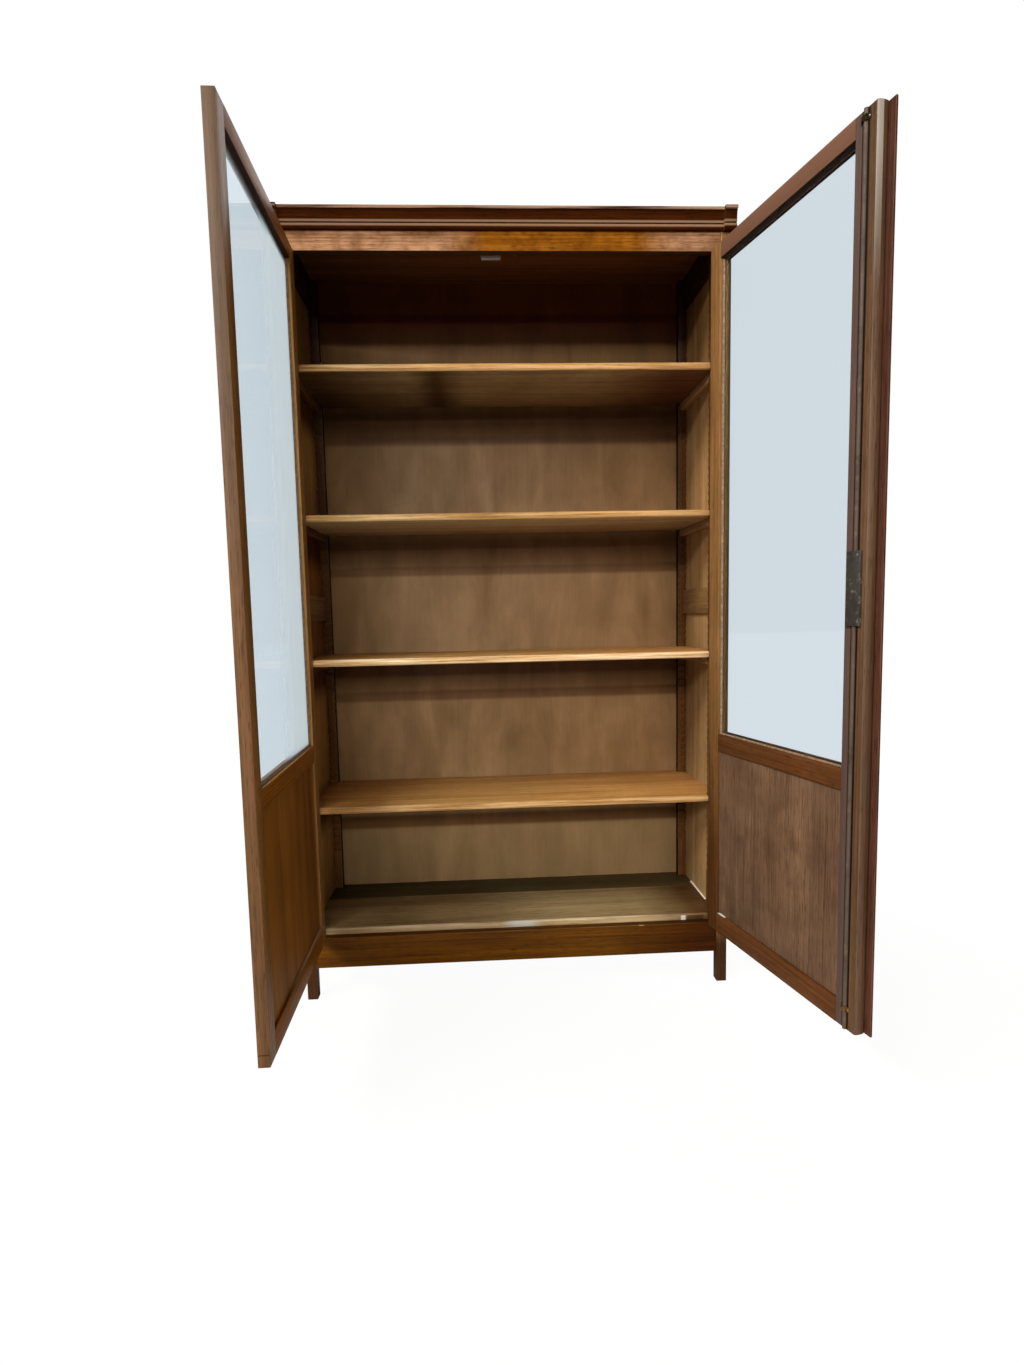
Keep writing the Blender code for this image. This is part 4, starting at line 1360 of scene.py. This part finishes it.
@dataclass
class Door:
    """One framed door: oak frame and panel, a pane with its putty, and its hinges."""

    side: str
    place: Place
    finish: DoorFinish
    closing_edge: Stretch
    arris_mm: float = 1.0
    putty_width_mm: float = 4.0
    putty_rise_mm: float = 4.0
    putty_lip_mm: float = 1.0

    def node(self, piece: str) -> str:
        """The CAD node of one of the door's pieces."""
        return f"{self.side}_door_{piece}"

    def build(self) -> None:
        """Builds and dresses the frame, the panel, the pane, the putty and the hinges."""
        finish = self.finish
        upright = Stretch(looking("y", -1), OUTSIDE_OAK, UPRIGHT)
        across = Stretch(looking("y", -1), OUTSIDE_OAK, ACROSS)
        # The top rail's underside is painted shade.
        rail_underside_shade = Stretch(looking("z", -1), UNDERSIDE_SHADE_OAK, ACROSS)
        panel = sum(corner.y for corner in self.place.box(self.node("panel"))) / 2
        # The bottom rail's lip, inside, carries a painted highlight.
        lip = Stretch(
            lambda centre, normal: normal.z > FACING and centre.y > panel, finish.lip, ACROSS
        )
        for name, oak, grain, stretches in (
            ("hinge_stile", finish.hinge_stile, UPRIGHT, (upright,)),
            ("closing_stile", finish.closing_stile, UPRIGHT, (upright, self.closing_edge)),
            ("top_rail", finish.rails, ACROSS, (across, rail_underside_shade)),
            ("mid_rail", finish.rails, ACROSS, (across,)),
            ("bottom_rail", finish.rails, ACROSS, (across, lip)),
            ("panel", finish.panel, UPRIGHT, (upright,)),
        ):
            node = self.node(name)
            WoodPiece(node, oak, grain, self.place, "stained_oak", self.arris_mm, stretches).build()
        dress_node(self.node("glass"), finish.pane.material(self.place))
        for height in ("lower", "upper"):
            for half in ("post", "door"):
                dress_node(self.node(f"{height}_hinge_{half}_half"), HINGE_BRASS.material())
        self.build_putty()

    def build_putty(self) -> None:
        """Presses a sloping fillet of putty round the inner side of the pane."""
        low, high = self.place.box(self.node("glass"))
        middle = (low + high) / 2
        wide = high.x - low.x
        tall = high.z - low.z
        width = self.putty_width_mm * MM
        rise = self.putty_rise_mm * MM
        lip = self.putty_lip_mm * MM
        bpy.ops.object.select_all(action="DESELECT")
        bpy.ops.mesh.primitive_plane_add(
            size=1.0, location=(middle.x, high.y + WELD, middle.z), rotation=(math.pi / 2, 0.0, 0.0)
        )
        putty = begin(self.node("putty"), (wide, tall, 1.0))
        bpy.ops.mesh.inset(thickness=width, use_even_offset=True)
        bpy.ops.mesh.delete(type="FACE")
        bpy.ops.mesh.select_all(action="SELECT")
        bpy.ops.mesh.extrude_region_move(TRANSFORM_OT_translate={"value": (0.0, rise, 0.0)})
        crest = high.y + rise / 2
        pick_points(
            putty,
            lambda point: point.y > crest
            and abs(point.x - middle.x) < wide / 2 - lip
            and abs(point.z - middle.z) < tall / 2 - lip,
        )
        spread = ((wide / 2 - lip) / (wide / 2 - width), 1.0, (tall / 2 - lip) / (tall / 2 - width))
        bpy.ops.transform.resize(value=spread, center_override=middle)
        close(putty, self.place, PUTTY.material(), SHADED_PUTTY.material())
        # The fillet along the top of the pane takes the second putty, painted shade.
        for face in putty.data.polygons:
            face.material_index = int(face.center.z > high.z - width)
        settle(putty, self.place.body)


@dataclass
class Strap:
    """A strip of metal bent over a bolt, with a flat foot on either side of it."""

    name: str
    place: Place
    bolt: tuple[Vector, Vector]
    face: float
    middle: float
    finish: MetalFinish
    height_mm: float = 11.0
    foot_mm: float = 7.0
    metal_mm: float = 1.2
    clear_mm: float = 0.7
    arris_mm: float = 0.3

    def build(self) -> None:
        """Bends the strip up, over the bolt and down again, and gives it its thickness."""
        low, high = self.bolt
        room = (self.clear_mm + self.metal_mm / 2) * MM
        foot = self.foot_mm * MM
        ground = self.face + self.metal_mm / 2 * MM + WELD
        start = low.x - room - foot / 2
        bpy.ops.object.select_all(action="DESELECT")
        bpy.ops.mesh.primitive_plane_add(
            size=1.0, location=(start, ground, self.middle), rotation=(math.pi / 2, 0.0, 0.0)
        )
        strap = begin(self.name, (foot, self.height_mm * MM, 1.0))
        pick_points(strap, lambda point: point.x > start)
        rise = high.y + room - ground
        span = high.x - low.x + 2 * room
        for bend in ((0.0, rise, 0.0), (span, 0.0, 0.0), (0.0, -rise, 0.0), (foot, 0.0, 0.0)):
            bpy.ops.mesh.extrude_region_move(TRANSFORM_OT_translate={"value": bend})
        bpy.ops.object.mode_set(mode="OBJECT")
        apply_modifier(strap, "SOLIDIFY", thickness=self.metal_mm * MM, offset=0.0)
        apply_modifier(strap, "BEVEL", width=self.arris_mm * MM, segments=ARRIS_STEPS, limit_method="ANGLE")
        bpy.ops.object.mode_set(mode="EDIT")
        close(strap, self.place, self.finish.material())
        settle(strap, self.place.body)

    def feet(self) -> list[Vector]:
        """Finds where the strap's screws go.

        Returns:
            The middles of the two feet, on their upper side.
        """
        low, high = self.bolt
        reach = (self.clear_mm + self.metal_mm / 2 + self.foot_mm / 2) * MM
        top = self.face + self.metal_mm * MM + WELD
        return [Vector((edge, top, self.middle)) for edge in (low.x - reach, high.x + reach)]


@dataclass
class Cremone:
    """The lock on the right door: astragal, case, bolts, guides, keep, screws and keyhole plate.

    The plate's rim is made in steps, each with its shares of the plate's width and thickness.
    """

    place: Place
    astragal_arris_mm: float = 0.8
    guides_mm: Pair = (224.0, 1989.0)
    keep_mm: float = 2019.6
    case_arris_mm: float = 0.9
    case_screw_in_mm: float = 8.0
    case_screw_turn_per_m: float = 30.0
    strap_screw_turn: float = 0.7
    plate_mm: Point = (19.0, 32.0, 1.4)
    plate_at_mm: Pair = (534.0, 1108.0)
    plate_steps: int = 40
    plate_rim: tuple[Pair, ...] = ((0.07, 0.3), (0.06, -0.2))
    keyhole_mm: float = 2.1
    keyhole_drop_mm: float = 5.0
    keyhole_depth_mm: float = 20.0
    keyhole_steps: int = 24
    keyhole_taper: float = 0.7

    def build(self) -> None:
        """Builds and dresses the lock."""
        arris = self.astragal_arris_mm
        WoodPiece("right_door_astragal", ASTRAGAL_OAK, UPRIGHT, self.place, "stained_oak", arris).build()
        case = eased_copy("right_door_lock_case", "iron", self.case_arris_mm)
        case.data.materials[0] = LOCK_IRON.material()
        case.data.materials[1] = LOCK_IRON.material()
        settle(case, self.place.body)
        for bolt in ("upper", "lower"):
            dress_node(f"right_door_{bolt}_bolt", BOLT_IRON.material())
        self.build_guides()
        self.build_keyhole()

    def build_guides(self) -> None:
        """Straps the bolts to the door, hangs their keep behind the frieze and screws all down."""
        stile = self.place.box("right_door_closing_stile")[1]
        shut = Place(CARCASS.body, self.place.origin, 0.0)
        frieze = CARCASS.box("frieze_rail")[1].y + CARCASS.origin[1] - shut.origin[1]
        lower, upper = (self.place.box(f"right_door_{bolt}_bolt") for bolt in ("lower", "upper"))
        low_z, high_z = (height * MM for height in self.guides_mm)
        straps = (
            Strap("lower_bolt_guide", self.place, lower, stile.y, low_z, HINGE_BRASS),
            Strap("upper_bolt_guide", self.place, upper, stile.y, high_z, GUIDE_IRON),
            Strap("upper_bolt_keep", shut, upper, frieze, self.keep_mm * MM, HINGE_BRASS),
        )
        screw = Screw()
        head = screw.model()
        for strap in straps:
            strap.build()
            for number, foot in enumerate(strap.feet(), start=1):
                name = f"{strap.name}_screw_{number}"
                turn = self.strap_screw_turn * number
                screw.drive(head, name, strap.place, foot, turn, SCREW_STEEL)
        case_low, case_high = self.place.box("right_door_lock_case")
        inset = self.case_screw_in_mm * MM
        heights = (case_high.z - inset, case_low.z + inset)
        corners = [(x, z) for z in heights for x in (case_low.x + inset, case_high.x - inset)]
        finishes = (SCREW_STEEL, LOCK_IRON, LOCK_IRON, LOCK_IRON)
        for number, ((x, z), finish) in enumerate(zip(corners, finishes), start=1):
            foot = Vector((x, case_high.y + WELD, z))
            turn = self.case_screw_turn_per_m * x
            screw.drive(head, f"lock_case_screw_{number}", self.place, foot, turn, finish)
        bpy.data.objects.remove(head)

    def build_keyhole(self) -> None:
        """Fits an oval brass plate outside and cuts the keyhole through it into the stile."""
        wide, tall, thick = (size * MM for size in self.plate_mm)
        out, height = (place * MM for place in self.plate_at_mm)
        face = self.place.box("right_door_closing_stile")[0].y - WELD
        at = Vector((self.place.toward_middle * out, face - thick / 2, height))
        bpy.ops.object.select_all(action="DESELECT")
        bpy.ops.mesh.primitive_cylinder_add(
            vertices=self.plate_steps, radius=0.5, depth=1.0, location=at, rotation=(math.pi / 2, 0.0, 0.0)
        )
        plate = begin("keyhole_plate", (wide, tall, thick))
        pick_faces(plate, looking("y", -1, SQUARE))
        for inward, outward in self.plate_rim:
            bpy.ops.mesh.inset(thickness=wide * inward, depth=thick * outward)
        bpy.ops.object.mode_set(mode="OBJECT")
        key = self.cut_key(at)
        for piece in (plate, key):
            piece.data.transform(self.place.matrix())
        stile = bpy.data.objects["right_door_closing_stile_wood"]
        for piece in (plate, stile):
            apply_modifier(piece, "BOOLEAN", operation="DIFFERENCE", object=key)
        bpy.data.objects.remove(key)
        plate.data.materials.append(HINGE_BRASS.material())
        smooth(plate)
        smooth(stile)
        settle(plate, self.place.body)

    def cut_key(self, at: Vector) -> Piece:
        """Shapes a rod like the keyhole, round above and narrower below.

        Args:
            at: the middle of the keyhole in the door's frame.

        Returns:
            The rod, in the door's frame.
        """
        radius = self.keyhole_mm * MM
        drop = self.keyhole_drop_mm * MM
        bpy.ops.object.select_all(action="DESELECT")
        bpy.ops.mesh.primitive_cylinder_add(
            vertices=self.keyhole_steps,
            radius=radius,
            depth=self.keyhole_depth_mm * MM,
            location=at + Vector((0.0, 0.0, drop / 2)),
            rotation=(math.pi / 2, 0.0, 0.0),
        )
        key = begin("key")
        pick_points(key, lambda point: point.z < at.z + drop / 2 - radius / 2)
        bpy.ops.transform.translate(value=(0.0, 0.0, -drop))
        bpy.ops.transform.resize(value=(self.keyhole_taper, 1.0, 1.0), center_override=at)
        bpy.ops.object.mode_set(mode="OBJECT")
        return key


@dataclass(frozen=True)
class Lamp:
    """A long low lamp in the cabinet's frame, turned to the middle of the cabinet."""

    name: str
    at: Point
    size: Pair
    watts: float

    def hang(self) -> None:
        """Hangs the lamp where neither the camera nor the panes show it."""
        data = bpy.data.lights.new(self.name, "AREA")
        data.shape = "RECTANGLE"
        data.size, data.size_y = self.size
        data.energy = self.watts
        lamp = bpy.data.objects.new(self.name, data)
        bpy.context.scene.collection.objects.link(lamp)
        lamp.location = Vector(CARCASS.origin) + Vector(self.at)
        beam = (CAD_BOX[0] + CAD_BOX[1]) / 2 - lamp.location
        lamp.rotation_euler = beam.to_track_quat("-Z", "Y").to_euler()
        lamp.visible_camera = False
        lamp.visible_transmission = False


@dataclass
class Studio:
    """The white floor, the light and the camera, which stands where the photograph was taken."""

    camera_at: Point = (-0.0949, -1.9371, 1.0708)
    yaw: float = math.radians(2.690)
    pitch: float = math.radians(-5.452)
    roll: float = math.radians(-1.238)
    lens_mm: float = 18.713
    sensor_mm: float = 36.0
    floor_half: float = 30.0
    floor_colour: str = "#C4C2BE"
    far_floor_colour: str = "#5A5A58"
    floor_roughness: float = 0.9
    floor_white: float = 0.9
    floor_glow: float = 1.05
    near: float = 1.6
    far: float = 4.5
    ambient: float = 0.08
    ambient_colour: str = "#FFE2BE"
    backdrop_colour: str = "#FFFFFF"
    lamps: tuple[Lamp, ...] = (
        Lamp("level_lamp", (2.0, -13.5, 3.3), (16.0, 0.25), 330.0),
        Lamp("low_lamp", (-5.0, -13.5, 6.2), (18.0, 0.35), 1950.0),
        Lamp("high_lamp", (-22.0, -14.5, 22.0), (22.0, 0.8), 12500.0),
        Lamp("back_lamp", (1.5, 4.0, 4.4), (7.0, 3.5), 130.0),
    )

    def build(self) -> None:
        """Sets up floor, light and camera."""
        self.build_floor()
        self.light_world()
        for lamp in self.lamps:
            lamp.hang()
        self.stand_camera()
        bpy.context.scene.view_settings.view_transform = "Standard"

    def build_floor(self) -> None:
        """Lays a wide white floor that still takes the cabinet's shadow, but lights it only from nearby."""
        bpy.ops.object.select_all(action="DESELECT")
        bpy.ops.mesh.primitive_plane_add(size=2 * self.floor_half)
        floor = bpy.context.object
        floor.name = "floor"
        material, tree, shader = new_material("white_floor")
        place = add_node(tree, "TexCoord", {}, "Object")
        middle = add_node(tree, "VectorMath", {0: place, 1: (0.0, self.near, 0.0)})
        away = add_node(tree, "VectorMath", {0: middle}, "Value", operation="LENGTH")
        reach = {"Value": away, "From Min": self.near, "From Max": self.far}
        gone = add_node(tree, "MapRange", reach)
        shades = {SHARE: gone, UNDER: linear(self.floor_colour), OVER: linear(self.far_floor_colour)}
        pale = add_node(tree, "Mix", shades, BLENDED, data_type="RGBA")
        fill(tree, shader, {"Base Color": pale, "Roughness": self.floor_roughness})
        white = add_node(tree, "MapRange", {"Value": gone, "To Min": self.floor_white})
        seen = self.seen_directly(tree)
        share = add_node(tree, "Math", {0: seen, 1: white}, operation="MULTIPLY")
        glow = add_node(tree, "Emission", {"Strength": self.floor_glow})
        surface = add_node(tree, "MixShader", {0: share, 1: shader.outputs["BSDF"], 2: glow})
        fill(tree, tree.nodes["Material Output"], {"Surface": surface})
        floor.data.materials.append(material)

    def seen_directly(self, tree: Tree) -> Socket:
        """Tells what the camera sees from all other light.

        Args:
            tree: the node tree of a material or a world.

        Returns:
            1 for what the camera sees itself or through glass, or else 0.
        """
        rays = ("Is Camera Ray", "Is Transmission Ray")
        seen = {number: add_node(tree, "LightPath", {}, ray) for number, ray in enumerate(rays)}
        return add_node(tree, "Math", seen, operation="MAXIMUM")

    def light_world(self) -> None:
        """Puts white behind the cabinet and behind its glass, and a soft warm light all round."""
        world = bpy.data.worlds.new("studio")
        bpy.context.scene.world = world
        world.use_nodes = True
        tree = world.node_tree
        seen = self.seen_directly(tree)
        shades = {SHARE: seen, UNDER: linear(self.ambient_colour), OVER: linear(self.backdrop_colour)}
        strength = {"Value": seen, "To Min": self.ambient, "To Max": 1.0}
        background = {
            "Color": add_node(tree, "Mix", shades, BLENDED, data_type="RGBA"),
            "Strength": add_node(tree, "MapRange", strength),
        }
        fill(tree, tree.nodes["Background"], background)

    def stand_camera(self) -> None:
        """Sets the camera up at its place, tilted and rolled as in the photograph."""
        data = bpy.data.cameras.new("camera")
        data.lens = self.lens_mm
        data.sensor_width = self.sensor_mm
        camera = bpy.data.objects.new("camera", data)
        bpy.context.scene.collection.objects.link(camera)
        turned = Matrix.Rotation(-self.yaw, 3, "Z")
        tilted = Matrix.Rotation(math.pi / 2 + self.pitch, 3, "X")
        rolled = Matrix.Rotation(self.roll, 3, "Z")
        axes = turned @ tilted @ rolled
        camera.rotation_euler = axes.to_euler()
        camera.location = Vector(CARCASS.origin) + Vector(self.camera_at)
        bpy.context.scene.camera = camera


def main() -> None:
    """Builds the cabinet's pieces in order, then the studio."""
    logging.basicConfig(level=logging.INFO, format="%(name)s: %(message)s")
    Carcass().build()
    Shelving().build()
    Door("left", LEFT_DOOR, LEFT_FINISH, left_closing_edge()).build()
    Door("right", RIGHT_DOOR, RIGHT_FINISH, right_closing_edge()).build()
    Cremone(RIGHT_DOOR).build()
    Studio().build()


if __name__ == "__main__":
    main()
